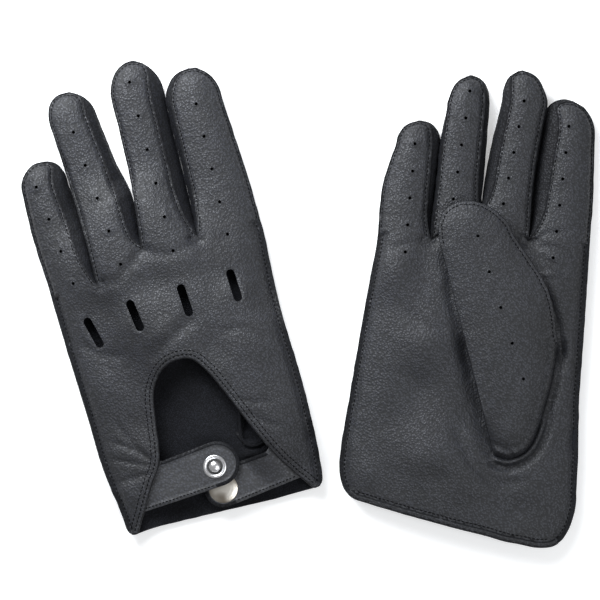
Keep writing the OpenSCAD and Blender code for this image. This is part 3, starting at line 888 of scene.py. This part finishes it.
def build_walls(glove, materials):
    """The side walls of the fingers and the sewn edges of the hand, between the two panels."""
    top, bottom = (("back", "palm") if glove.up["back"] > 0 else ("palm", "back"))
    levels = 7
    edges = [glove.upper[top], glove.upper[bottom]]
    ahead = unit(np.gradient(sum(edges) / 2, axis=0))
    outward = np.stack([ahead[:, 1], -ahead[:, 0]], axis=1)
    inner = [edge - outward * 0.35 for edge in edges]
    half = np.maximum(glove.rim_half - 0.3, 0.15)
    share = np.linspace(0.0, 1.0, levels)
    belly = 1.3 * smooth((glove.rim_half - 0.8) / 2.0)[:, None] * np.sin(math.pi * share)[None, :]
    flat = inner[0][:, None] * (1 - share)[None, :, None] + inner[1][:, None] * share[None, :, None]
    flat = flat + outward[:, None] * belly[:, :, None]
    height = glove.rim_middle[:, None] + half[:, None] * (1 - 2 * share)[None, :]
    wrinkle = np.array([[noise.noise((x / 3.5, y / 3.5, z / 3.5)) for (x, y), z in zip(row, heights)]
                        for row, heights in zip(flat, height)])
    flat = flat + outward[:, None] * (0.35 * wrinkle * np.sin(math.pi * share))[:, :, None]
    points = np.concatenate([flat, height[:, :, None]], axis=2).reshape(-1, 3)
    faces = grid_faces(len(half), levels)
    normals = normals_of(points, faces)
    facing_out = (normals[:, :2].reshape(-1, levels, 2) * outward[:, None]).sum() > 0
    faces = faces if facing_out else faces[:, ::-1]
    shape = Shape()
    add_sheet(shape, points, faces, 0.6)
    points, _, faces, _ = shape.gathered()
    row = faces[:, 0] % (len(half) * levels) // levels
    beyond = inside(points[faces][:, :, :2].mean(axis=1), glove.beyond)
    region = np.where(beyond, glove.owner[row], -1)
    folds = [f"{glove.side}_fourchette_{a}_{b}" for a, b in zip(FINGERS[:-1], FINGERS[1:])]
    for finger in range(-1, 4):
        part = "hand_edge" if finger < 0 else FINGERS[finger]
        piece = make_piece(f"{glove.side}_{part}_side_leather", shape, materials, region == finger)
        glove.attach(piece, finger)
        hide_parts(*(folds if finger < 0 else [f"{glove.side}_{part}_fourchettes"]))


# ---- Thumb ----

def build_thumb(glove, palm, materials, side_materials):
    """The thumb: its outer panel with the swell that joins it to the hand, its inner panel and its edge."""
    side, up = glove.side, glove.up["palm"]
    place, axis, pivot = hinge(f"{side}_thumb_fold")
    hole = max(palm.holes, key=lambda loop: arc_lengths(loop)[-1])
    outer_side = Panel.outer_side(hole, place, axis)
    loops = {}
    for name, sign in (("outer", up), ("inner", -up)):
        found = loops_of(*facing(f"{side}_thumb_{name}", sign))
        row, rest = row_and_rest(thinned(found[0]), place, axis, 34.0)
        loops[name] = (row, rest, found[1:])
    row, rest, vents = loops["outer"]
    rim_path = np.concatenate([row[-1:], rest, row[:1]])
    rim_path = ripple(resample(rim_path, round(arc_lengths(rim_path)[-1])), 5.0, 0.2)
    arc = hole[cross2(hole - place, axis) * outer_side > 0.4]
    along = (arc - place) @ axis
    arc = arc[np.argsort(along)]
    if np.linalg.norm(arc[0] - rim_path[-1]) > np.linalg.norm(arc[-1] - rim_path[-1]):
        arc = arc[::-1]
    outline = np.concatenate([rim_path, arc])
    if cross2(outline, np.roll(outline, -1, axis=0)).sum() < 0:
        outline = outline[::-1]
    shown = up > 0
    holes = [circle(vent.mean(axis=0), VENT_RADIUS) for vent in vents]
    depths = [0.5, 1.0, 1.6, 2.3, 3.1] if shown else [1.0, 2.4]
    flat, faces = fill(outline, holes, FINE if shown else COARSE, depths)

    surface = Surface([f"{side}_thumb_outer"], up)
    middle = np.median(surface.heights(rim_path)) - up * 1.1
    beyond = cross2(flat - place, axis) * -outer_side
    height = surface.heights(flat)
    tree, rim_tree = kd_tree(outline), kd_tree(rim_path)
    _, edge = nearest(tree, flat)
    index, rim_distance = nearest(rim_tree, flat)
    arc_tree = kd_tree(arc)
    arc_index, arc_distance = nearest(arc_tree, flat)
    arc_level = glove.surfaces["palm"].heights(arc)
    hole_height = palm.points[nearest(kd_tree(palm.flat), arc)[0], 2] - up * 0.6
    # The swell rises from the hole's edge to the thumb.
    fold_height = height - up * 2.5 * np.exp(-((np.maximum(beyond, 0) / 16.0) ** 2))
    swell = (1.0 - np.exp(-arc_distance / 3.6)) / (1.0 - math.exp(-4.2))
    swell = np.clip(swell, 0.0, 1.0)
    joined = hole_height[arc_index] + (fold_height - hole_height[arc_index]) * swell
    height = joined + (fold_height - joined) * smooth((beyond - 2.0) / 10.0)
    # The folded edge is full and round, and the sewn one is thin.
    ahead = unit(np.gradient(rim_path, axis=0))
    share = np.linspace(0.0, 1.0, len(rim_path))
    rim_beyond = cross2(rim_path - place, axis) * -outer_side
    palm_level = arc_level.mean() + up * 0.5
    rim_level = palm_level + (middle - palm_level) * smooth((rim_beyond + 1.0) / 20.0)
    fold_end = rim_path[np.argmin((rim_path - place) @ axis)]
    index_of_tip = np.argmax(np.abs(cross2(rim_path - place, axis)))
    low_first = np.linalg.norm(rim_path[0] - fold_end) < np.linalg.norm(rim_path[-1] - fold_end)
    sewn_part = share > share[index_of_tip] - 0.08 if low_first else share < share[index_of_tip] + 0.08
    sewn = sewn_part[index]
    full = 3.6
    round_edge = np.sqrt(np.clip(1 - (1 - np.clip(rim_distance / full, 0, 1)) ** 2, 0, 1))
    flange = smooth((rim_distance - FINGER_FLANGE) / 3.0)
    level = rim_level[index]
    rim_height = level + up * 0.45
    shaped = np.where(sewn, rim_height + (height - rim_height) * flange, rim_height + (height - rim_height) * round_edge)
    height = height + (shaped - height) * smooth((beyond + 6.0) / 6.0)
    fixed = (edge < 1e-4)
    height = relax(height, faces, fixed, 14 if shown else 5)
    rise = 0.28 * noise_field(flat, 13.0, 6.5) + 0.14 * noise_field(flat, 5.0, 7.5) + 0.05 * noise_field(flat, 2.4, 3.5)
    for at in (4, 9, 15, 22, 31, 41, 52, 63):
        wobble = 2.5 * noise_field(flat, 10.0, 0.5 + at)
        rise -= 0.30 * bell(beyond - at + wobble, 1.1) * np.clip(0.4 + noise_field(flat, 8.0, 2.0 + at), 0, 1)
    rise += 1.5 * bell(arc_distance - 2.8, 1.5)
    for k, at in enumerate(np.linspace(4.0, 60.0, 17)):
        radiating = (flat - place) @ axis - (at - 32.0) + 2.0 * noise_field(flat, 8.0, 1.0 + k)
        rise -= 0.9 * bell(radiating, 0.8) * bell(arc_distance - 3.4, 2.2)
    rise *= smooth(edge / 2.5)
    rise -= np.where(sewn & (beyond > 2), 0.22 * bell(rim_distance - FINGER_STITCH, 0.45), 0.0)
    points = np.column_stack([flat, height + up * rise])
    if up < 0:
        faces = faces[:, ::-1]
    shape = Shape()
    add_sheet(shape, points, faces, np.full(len(points), 0.8))
    tree = BVHTree.FromPolygons(points.tolist(), faces.tolist())
    seam = rim_path[sewn_part]
    rim_loop_left = cross2(outline, np.roll(outline, -1, axis=0)).sum() > 0
    inward = offset_path(seam, FINGER_STITCH)
    if not inside(inward[len(inward) // 2:len(inward) // 2 + 1], outline)[0]:
        inward = offset_path(seam[::-1], FINGER_STITCH)
    path, normals = on_surface(tree, inward, up)
    add_stitches(shape, path, normals)
    outer = make_piece(f"{side}_thumb_outer_leather", shape, materials)
    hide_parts(f"{side}_thumb_outer")
    aside = np.array([-axis[1], axis[0]])
    aside = aside * np.sign(aside @ (rim_path[index_of_tip] - place))
    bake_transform(outer)

    # The inner panel, and the strip between the two along the rim.
    inner_outline = np.concatenate([rim_path, resample(np.stack([rim_path[-1], rim_path[0]]), 60)[1:-1]])
    if cross2(inner_outline, np.roll(inner_outline, -1, axis=0)).sum() < 0:
        inner_outline = inner_outline[::-1]
    vents = [circle(vent.mean(axis=0), VENT_RADIUS) for vent in loops["inner"][2]]
    flat, faces = fill(inner_outline, vents, COARSE, [0.8, 1.7])
    low = Surface([f"{side}_thumb_inner"], -up).heights(flat)
    _, rim_distance = nearest(kd_tree(rim_path), flat)
    rim_index, _ = nearest(kd_tree(rim_path), flat)
    low_rim = rim_level[rim_index] - up * 0.45
    low = low_rim + (low - low_rim) * smooth((rim_distance - 0.4) / 3.4)
    low = np.minimum(low * up, rim_level[rim_index] * up - 0.45) * up
    low = relax(low, faces, rim_distance < 1e-4, 6) - up * 0.2 * noise_field(flat, 9.0, 2.2) * smooth(rim_distance / 3)
    points = np.column_stack([flat, low])
    if up > 0:
        faces = faces[:, ::-1]
    shape = Shape()
    add_sheet(shape, points, faces, np.full(len(points), 0.7))
    outward = np.stack([ahead[:, 1], -ahead[:, 0]], axis=1)
    if inside(rim_path[30:31] + outward[30:31], outline)[0]:
        outward = -outward
    strip = []
    for level in np.linspace(0.0, 1.0, 5):
        ring = rim_path + outward * (0.45 * math.sin(math.pi * level) - 0.15)
        strip.append(np.column_stack([ring, rim_level + up * 0.42 * (1 - 2 * level)]))
    strip = np.stack(strip, axis=1).reshape(-1, 3)
    strip_faces = grid_faces(len(rim_path), 5)
    strip_normals = normals_of(strip, strip_faces)
    if (strip_normals.reshape(-1, 5, 3)[:, 2, :2] * outward).sum() < 0:
        strip_faces = strip_faces[:, ::-1]
    add_sheet(shape, strip, strip_faces, np.full(len(strip), 0.5))
    inner = make_piece(f"{side}_thumb_inner_leather", shape, side_materials)
    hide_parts(f"{side}_thumb_inner")
    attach(inner, f"{side}_thumb")


# ---- Tabs and snap ----

def build_tab(glove, name, materials, back):
    """One tab of the fastener, from under the opening's edge to its round end."""
    side, up = glove.side, glove.up["back"]
    node = f"{side}_{name}_tab"
    loops = loops_of(*facing(node, up))
    low, high = (np.array(corner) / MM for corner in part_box(node))
    top = high[2] if up > 0 else low[2]
    place, axis, pivot = hinge(f"{side}_{name}_tab_lift" if name == "stud" else f"{side}_cap_tab_lift")
    row, rest = row_and_rest(thinned(loops[0], 0.5), place, axis, 20.0)
    away = np.array([-axis[1], axis[0]])
    away = away * -np.sign(away @ (rest.mean(axis=0) - place))
    sides = np.concatenate([row[-1:], rest, row[:1]])
    free = resample(sides, round(arc_lengths(sides)[-1] / 0.8))
    base = resample(np.stack([row[0] + 8 * away, row[-1] + 8 * away]), 16)
    outline = np.concatenate([free, base])
    flat, faces = fill(outline, [], 0.9, [0.4, 0.8, 1.3, 1.9, 2.6])
    out = -((flat - place) @ away)
    _, depth = nearest(kd_tree(free), flat)
    # Under the opening's edge the tab lies against the back panel, and it eases away from there.
    tree = BVHTree.FromPolygons(back.points.tolist(), back.faces.tolist())
    covered, level = [], []
    for x, y in flat:
        hit = tree.ray_cast((x, y, 100.0 * up), (0.0, 0.0, -up))[0]
        covered.append(hit is not None)
        level.append(hit[2] - up * 2.1 if hit is not None else 0.0)
    covered, level = np.array(covered), np.array(level)
    index, gap = nearest(kd_tree(flat[covered]), flat)
    level = relax(np.where(covered, level, level[covered][index]), faces, np.zeros(len(flat), bool), 25)
    height = level + (top - level) * smooth((gap - 1.0) / 15.0)
    turned = 1 - np.clip(depth / 1.1, 0, 1)
    height -= up * 0.45 * turned ** 2
    height += up * (0.22 * bell(depth - 1.5, 0.9) - 0.22 * bell(depth - 3.0, 0.45))
    height += up * (0.16 * noise_field(flat, 8.0, 1.2) + 0.05 * noise_field(flat, 2.4, 3.2))
    points = np.column_stack([flat, height])
    if up < 0:
        faces = faces[:, ::-1]
    shape = Shape()
    add_sheet(shape, points, faces, np.full(len(points), 1.3))
    index, _ = nearest(kd_tree(free), flat)
    share = index / len(free)
    plain = share < 0.36 if free[0, 1] < free[-1, 1] else share > 0.64
    bound = (depth < 2.5) & ~plain
    shape.paints[0] = np.where(bound[faces].all(axis=1), RIM, OUTSIDE)
    tree = BVHTree.FromPolygons(points.tolist(), faces.tolist())
    third = round(0.36 * len(free))
    low_edge = free[:third] if free[0, 1] < free[-1, 1] else free[-third:]
    path, normals = on_surface(tree, offset_path(low_edge, 1.5), up)
    add_stitches(shape, path, normals, pitch=1.9, length=1.3)
    piece = make_piece(f"{node}_leather", shape, materials)
    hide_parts(node)
    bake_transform(piece)


def lathe(name, centre, up, profile, material, body, node, count=72):
    """A turned metal part. The profile is radius and height above the centre."""
    angles = np.arange(count) * 2 * math.pi / count
    points, faces = [], []
    rows = len(profile)
    for angle in angles:
        points += [(centre[0] + r * math.cos(angle), centre[1] + r * math.sin(angle), centre[2] + up * h)
                   for r, h in profile]
    for k in range(count):
        for j in range(rows - 1):
            a, b = k * rows + j, (k + 1) % count * rows + j
            quad = (a, b, b + 1, a + 1)
            faces.append(quad if up > 0 else quad[::-1])
    mesh = bpy.data.meshes.new(name)
    mesh.from_pydata((np.array(points) * MM).tolist(), [], faces)
    mesh.validate()
    mesh.materials.append(material)
    mesh.polygons.foreach_set("use_smooth", np.ones(len(mesh.polygons), bool))
    piece = bpy.data.objects.new(name, mesh)
    bpy.context.scene.collection.objects.link(piece)
    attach(piece, body)
    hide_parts(node)
    return piece


def soft_profile(corners, radius=0.12, steps=4):
    """A profile with its corners rounded."""
    corners = np.array(corners, float)
    result = [corners[0]]
    for a, b, c in zip(corners[:-2], corners[1:-1], corners[2:]):
        cut = min(radius, 0.45 * np.linalg.norm(b - a), 0.45 * np.linalg.norm(c - b))
        start = b + unit(a - b) * cut
        end = b + unit(c - b) * cut
        result += list(rounded(start, b, end, steps))
    result.append(corners[-1])
    return [tuple(point) for point in result]


def build_snap(glove, materials):
    side, up = glove.side, glove.up["back"]

    def base(node):
        low, high = (np.array(corner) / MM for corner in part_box(node))
        middle = (low + high) / 2
        return np.array([middle[0], middle[1], low[2] if up > 0 else high[2]])

    ball = [(2.9 * math.cos(math.radians(t)), 1.45 + 1.6 * math.sin(math.radians(t))) for t in range(-40, 91, 10)]
    stud = soft_profile([
        (1.55, 0.0), (6.0, 0.0), (6.0, 0.35), (5.6, 0.74), (4.9, 0.78), (4.2, 0.40), (3.9, 0.2), (2.3, 0.2),
    ], 0.25) + ball
    lathe(f"{side}_stud_metal", base(f"{side}_snap_stud"), up, stud, materials["nickel"],
          f"{side}_stud_tab", f"{side}_snap_stud")
    # A dark ring laid in the groove between the flange and the ball: painted shade, the snap is nickel there too.
    groove_shade_ring = soft_profile([(2.2, 0.15), (2.2, 0.34), (4.1, 0.34), (4.1, 0.15)], 0.05)
    lathe(f"{side}_stud_groove", base(f"{side}_snap_stud"), up, groove_shade_ring, materials["groove_shade_ring"],
          f"{side}_stud_tab", f"{side}_snap_stud")
    low, high = (np.array(corner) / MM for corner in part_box(f"{side}_snap_post"))
    tall = (high - low)[2]
    post = soft_profile([(0.0, 0.0), (4.5, 0.0), (4.5, 0.4), (1.45, 0.4), (1.45, tall), (0.0, tall)], 0.1)
    lathe(f"{side}_post_metal", base(f"{side}_snap_post"), up, post, materials["nickel"],
          f"{side}_stud_tab", f"{side}_snap_post")
    cap = soft_profile([
        (0.0, 0.0), (1.5, 0.0), (1.5, 1.6), (6.9, 1.62), (7.5, 1.75), (7.35, 1.95), (6.6, 2.2), (5.2, 2.46),
        (3.5, 2.66), (1.7, 2.77), (0.0, 2.8),
    ], 0.2)
    lathe(f"{side}_cap_metal", base(f"{side}_snap_cap"), up, cap, materials["cap"],
          f"{side}_cap_tab", f"{side}_snap_cap")
    socket = soft_profile([
        (1.6, 2.3), (3.1, 2.2), (3.1, 0.15), (3.4, 0.0), (5.3, 0.0), (6.2, 0.6), (6.2, 2.4), (5.6, 2.8), (1.6, 2.8),
    ], 0.15)
    lathe(f"{side}_socket_metal", base(f"{side}_snap_socket"), up, socket, materials["nickel"],
          f"{side}_cap_tab", f"{side}_snap_socket")


# ---- Rolled edges ----

def build_rolled_edge(glove, panel, name, node, material, radius, thread=None):
    """The bead of turned leather along the wrist or the opening."""
    up = panel.up
    path, _ = on_surface(
        BVHTree.FromPolygons(panel.points.tolist(), panel.faces.tolist()), offset_path(panel.lower, 0.5), up)
    path = resample(path, round(arc_lengths(path)[-1] / 0.9))
    path[:, 2] -= up * 0.75
    shape = Shape()
    points, normals, faces = tube(path, radius, sides=8)
    shape.add(points, normals, faces, OUTSIDE)
    piece = make_piece(f"{glove.side}_{name}", shape, [material, material, material])
    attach(piece, f"{glove.side}_hand")
    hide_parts(node)


def build_gusset(glove, palm, material):
    """The seam allowance round the thumb hole, inside the glove."""
    hole = max(palm.holes, key=lambda loop: arc_lengths(loop)[-1])
    up = palm.up
    ahead = unit(np.roll(hole, -1, axis=0) - np.roll(hole, 1, axis=0))
    outward = np.stack([ahead[:, 1], -ahead[:, 0]], axis=1)
    if inside(hole[:1] + 0.5 * outward[:1], hole)[0]:
        outward = -outward
    middle = hole + 1.3 * outward
    height = palm.points[nearest(kd_tree(palm.flat), middle)[0], 2] - up * 2.0
    path = np.column_stack([middle, height])
    for _ in range(3):
        path = sum(np.roll(path, shift, axis=0) for shift in range(-4, 5)) / 9
    shape = Shape()
    points, normals, faces = tube(path, 0.8, sides=8, closed=True)
    shape.add(points, normals, faces, OUTSIDE)
    piece = make_piece(f"{glove.side}_thumb_seam", shape, [material, material, material])
    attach(piece, f"{glove.side}_hand")
    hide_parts(f"{glove.side}_thumb_gusset")


# ---- Materials ----

def material(name, colour, roughness, metallic=0.0, shine=0.5):
    made = bpy.data.materials.new(name)
    made.use_nodes = True
    shader = made.node_tree.nodes["Principled BSDF"]
    shader.inputs["Base Color"].default_value = (*colour, 1.0)
    shader.inputs["Roughness"].default_value = roughness
    shader.inputs["Metallic"].default_value = metallic
    shader.inputs["Specular IOR Level"].default_value = shine
    return made


def grained(name, colour, roughness, cell, depth, variation, shine=0.5):
    """Leather: small uneven pebbles with fine pores, a colour that drifts slightly, and painted shade in the hollows
    between the pebbles with painted highlight on their tops.
    """
    made = material(name, colour, roughness, shine=shine)
    nodes, links = made.node_tree.nodes, made.node_tree.links
    shader = nodes["Principled BSDF"]
    place = nodes.new("ShaderNodeTexCoord").outputs["Object"]
    bend = nodes.new("ShaderNodeTexNoise")
    bend.inputs["Scale"].default_value = 420.0
    links.new(place, bend.inputs["Vector"])
    push = nodes.new("ShaderNodeVectorMath")
    push.operation = "MULTIPLY_ADD"
    push.inputs[1].default_value = (0.0009, 0.0009, 0.0009)
    links.new(bend.outputs["Color"], push.inputs[0])
    links.new(place, push.inputs[2])
    pebbles = nodes.new("ShaderNodeTexVoronoi")
    pebbles.feature = "SMOOTH_F1"
    pebbles.inputs["Scale"].default_value = 1.0 / cell
    pebbles.inputs["Smoothness"].default_value = 0.35
    links.new(push.outputs["Vector"], pebbles.inputs["Vector"])
    height = nodes.new("ShaderNodeMath")
    height.operation = "MULTIPLY"
    height.inputs[1].default_value = -1.0
    links.new(pebbles.outputs["Distance"], height.inputs[0])
    grain = nodes.new("ShaderNodeBump")
    grain.inputs["Strength"].default_value = 1.0
    grain.inputs["Distance"].default_value = depth
    links.new(height.outputs["Value"], grain.inputs["Height"])
    # The pebbles' tops are polished and the hollows between them dull. The base colour is painted paler on the tops and
    # darker in the hollows: painted highlight and painted shade of the grain.
    polish = nodes.new("ShaderNodeMapRange")
    painted_grain_shade = nodes.new("ShaderNodeMapRange")
    for spread, top, hollow in ((polish, roughness * 0.86, roughness * 1.5), (painted_grain_shade, 1.5, 0.4)):
        spread.inputs["From Min"].default_value = 0.12
        spread.inputs["From Max"].default_value = 0.58
        spread.inputs["To Min"].default_value = top
        spread.inputs["To Max"].default_value = hollow
        links.new(pebbles.outputs["Distance"], spread.inputs["Value"])
    links.new(polish.outputs["Result"], shader.inputs["Roughness"])
    pores = nodes.new("ShaderNodeTexNoise")
    pores.inputs["Scale"].default_value = 3000.0
    pores.inputs["Detail"].default_value = 3.0
    links.new(place, pores.inputs["Vector"])
    fine = nodes.new("ShaderNodeBump")
    fine.inputs["Strength"].default_value = 0.5
    fine.inputs["Distance"].default_value = depth * 0.25
    links.new(pores.outputs["Fac"], fine.inputs["Height"])
    links.new(grain.outputs["Normal"], fine.inputs["Normal"])
    links.new(fine.outputs["Normal"], shader.inputs["Normal"])
    drift = nodes.new("ShaderNodeTexNoise")
    drift.inputs["Scale"].default_value = 45.0
    drift.inputs["Detail"].default_value = 6.0
    drift.inputs["Roughness"].default_value = 0.62
    links.new(place, drift.inputs["Vector"])
    ramp = nodes.new("ShaderNodeValToRGB")
    ramp.color_ramp.elements[0].position = 0.3
    ramp.color_ramp.elements[1].position = 0.7
    ramp.color_ramp.elements[0].color = (*[c * (1 - variation) for c in colour], 1.0)
    ramp.color_ramp.elements[1].color = (*[c * (1 + variation) for c in colour], 1.0)
    links.new(drift.outputs["Fac"], ramp.inputs["Fac"])
    # The drifting colour scaled by the painted grain shade and highlight.
    shaded = nodes.new("ShaderNodeVectorMath")
    shaded.operation = "SCALE"
    links.new(ramp.outputs["Color"], shaded.inputs[0])
    links.new(painted_grain_shade.outputs["Result"], shaded.inputs["Scale"])
    links.new(shaded.outputs["Vector"], shader.inputs["Base Color"])
    return made


def nickel_with_painted_reflections(name, dark, light, roughness):
    """Nickel with painted reflections: its colour goes from dark to light in soft cloudy bands."""
    made = material(name, light, roughness, metallic=1.0)
    nodes, links = made.node_tree.nodes, made.node_tree.links
    clouds = nodes.new("ShaderNodeTexNoise")
    clouds.inputs["Scale"].default_value = 90.0
    clouds.inputs["Detail"].default_value = 2.0
    links.new(nodes.new("ShaderNodeTexCoord").outputs["Object"], clouds.inputs["Vector"])
    ramp = nodes.new("ShaderNodeValToRGB")
    ramp.color_ramp.elements[0].position = 0.44
    ramp.color_ramp.elements[1].position = 0.66
    ramp.color_ramp.elements[0].color = (*dark, 1.0)
    ramp.color_ramp.elements[1].color = (*light, 1.0)
    links.new(clouds.outputs["Fac"], ramp.inputs["Fac"])
    links.new(ramp.outputs["Color"], made.node_tree.nodes["Principled BSDF"].inputs["Base Color"])
    return made


MATERIALS = {
    "leather": grained("leather", (0.0130, 0.0142, 0.0194), 0.47, 0.00108, 0.00030, 0.30, shine=0.58),
    "rim": grained("rim_leather", (0.0060, 0.0065, 0.0090), 0.50, 0.0010, 0.00010, 0.25, shine=0.22),
    "side": grained("side_leather", (0.0070, 0.0076, 0.0105), 0.50, 0.0010, 0.00020, 0.25, shine=0.25),
    "binding": grained("binding_leather", (0.0060, 0.0065, 0.0090), 0.42, 0.0010, 0.00008, 0.2, shine=0.3),
    "tab": grained("tab_leather", (0.0300, 0.0316, 0.0385), 0.42, 0.0012, 0.00012, 0.2, shine=0.72),
    "suede": grained("suede", (0.0100, 0.0108, 0.0145), 0.95, 0.0006, 0.00010, 0.35, shine=0.3),
    "thread": material("thread", (0.0025, 0.0025, 0.0030), 0.8, shine=0.1),
    "nickel": material("nickel", (0.90, 0.90, 0.92), 0.28, metallic=1.0),
    # The cap's dark and light cloudy bands are painted reflections on its warm nickel.
    "cap": nickel_with_painted_reflections("cap_nickel_painted_reflections", (0.24, 0.20, 0.15), (0.86, 0.82, 0.75), 0.28),
    # The groove material is painted shade for the snap's groove.
    "groove_shade_ring": material("snap_groove", (0.03, 0.03, 0.03), 0.6),
}


# ---- The pair ----

def build_glove(side):
    glove = Glove(side)
    leather = [MATERIALS[name] for name in ("leather", "suede", "thread", "rim")]
    side_leather = [MATERIALS[name] for name in ("side", "suede", "thread", "side")]
    tab_leather = [MATERIALS[name] for name in ("tab", "binding", "thread", "rim")]
    back, _ = build_panel(glove, "back", leather)
    palm, _ = build_panel(glove, "palm", leather)
    build_walls(glove, side_leather)
    build_thumb(glove, palm, leather, side_leather)
    build_tab(glove, "stud", tab_leather, back)
    build_tab(glove, "cap", tab_leather, back)
    build_snap(glove, MATERIALS)
    build_rolled_edge(glove, back, "opening_roll", f"{side}_opening_binding", MATERIALS["binding"],
                      0.75)
    build_rolled_edge(glove, palm, "cuff_roll", f"{side}_cuff_binding", MATERIALS["binding"],
                      0.75)
    build_gusset(glove, palm, MATERIALS["suede"])


# ---- Floor, lights and camera ----

def build_stage():
    bpy.ops.mesh.primitive_plane_add(size=6.0, location=(0.0, 0.0, -0.0007))
    floor = bpy.context.object
    floor.name = "floor"
    pale = material("floor", (0.95, 0.95, 0.95), 0.9, shine=0.0)
    pale.node_tree.nodes["Principled BSDF"].inputs["Emission Color"].default_value = (1.0, 1.0, 1.0, 1.0)
    pale.node_tree.nodes["Principled BSDF"].inputs["Emission Strength"].default_value = 0.35
    floor.data.materials.append(pale)
    world = bpy.data.worlds.new("world")
    world.use_nodes = True
    world.node_tree.nodes["Background"].inputs["Color"].default_value = (1.0, 1.0, 1.0, 1.0)
    world.node_tree.nodes["Background"].inputs["Strength"].default_value = 0.28
    bpy.context.scene.world = world
    for name, place, size, power in (
        ("window", (-0.24, 0.36, 0.30), 0.30, 3.0),
        ("key", (-0.30, 0.55, 0.62), 0.50, 6.5),
        ("fill", (0.8, -0.5, 1.2), 0.9, 9.0),
    ):
        light = bpy.data.lights.new(name, "AREA")
        light.size = size
        light.energy = power
        light.color = (0.94, 0.97, 1.0)
        lamp = bpy.data.objects.new(name, light)
        lamp.location = place
        lamp.rotation_euler = (-Vector(place)).to_track_quat("-Z", "Y").to_euler()
        bpy.context.scene.collection.objects.link(lamp)


def build_camera():
    lens = bpy.data.cameras.new("camera")
    camera = bpy.data.objects.new("camera", lens)
    camera.location = (-0.0046, 0.002, 2.0)
    lens.sensor_width = 36.0
    lens.lens = 36.0 * (2.0 - 0.01) / 0.306
    bpy.context.scene.collection.objects.link(camera)
    bpy.context.scene.camera = camera
    bpy.context.scene.view_settings.view_transform = "Standard"
    bpy.context.scene.view_settings.look = "None"


for glove_side in ("left", "right"):
    build_glove(glove_side)
build_stage()
build_camera()
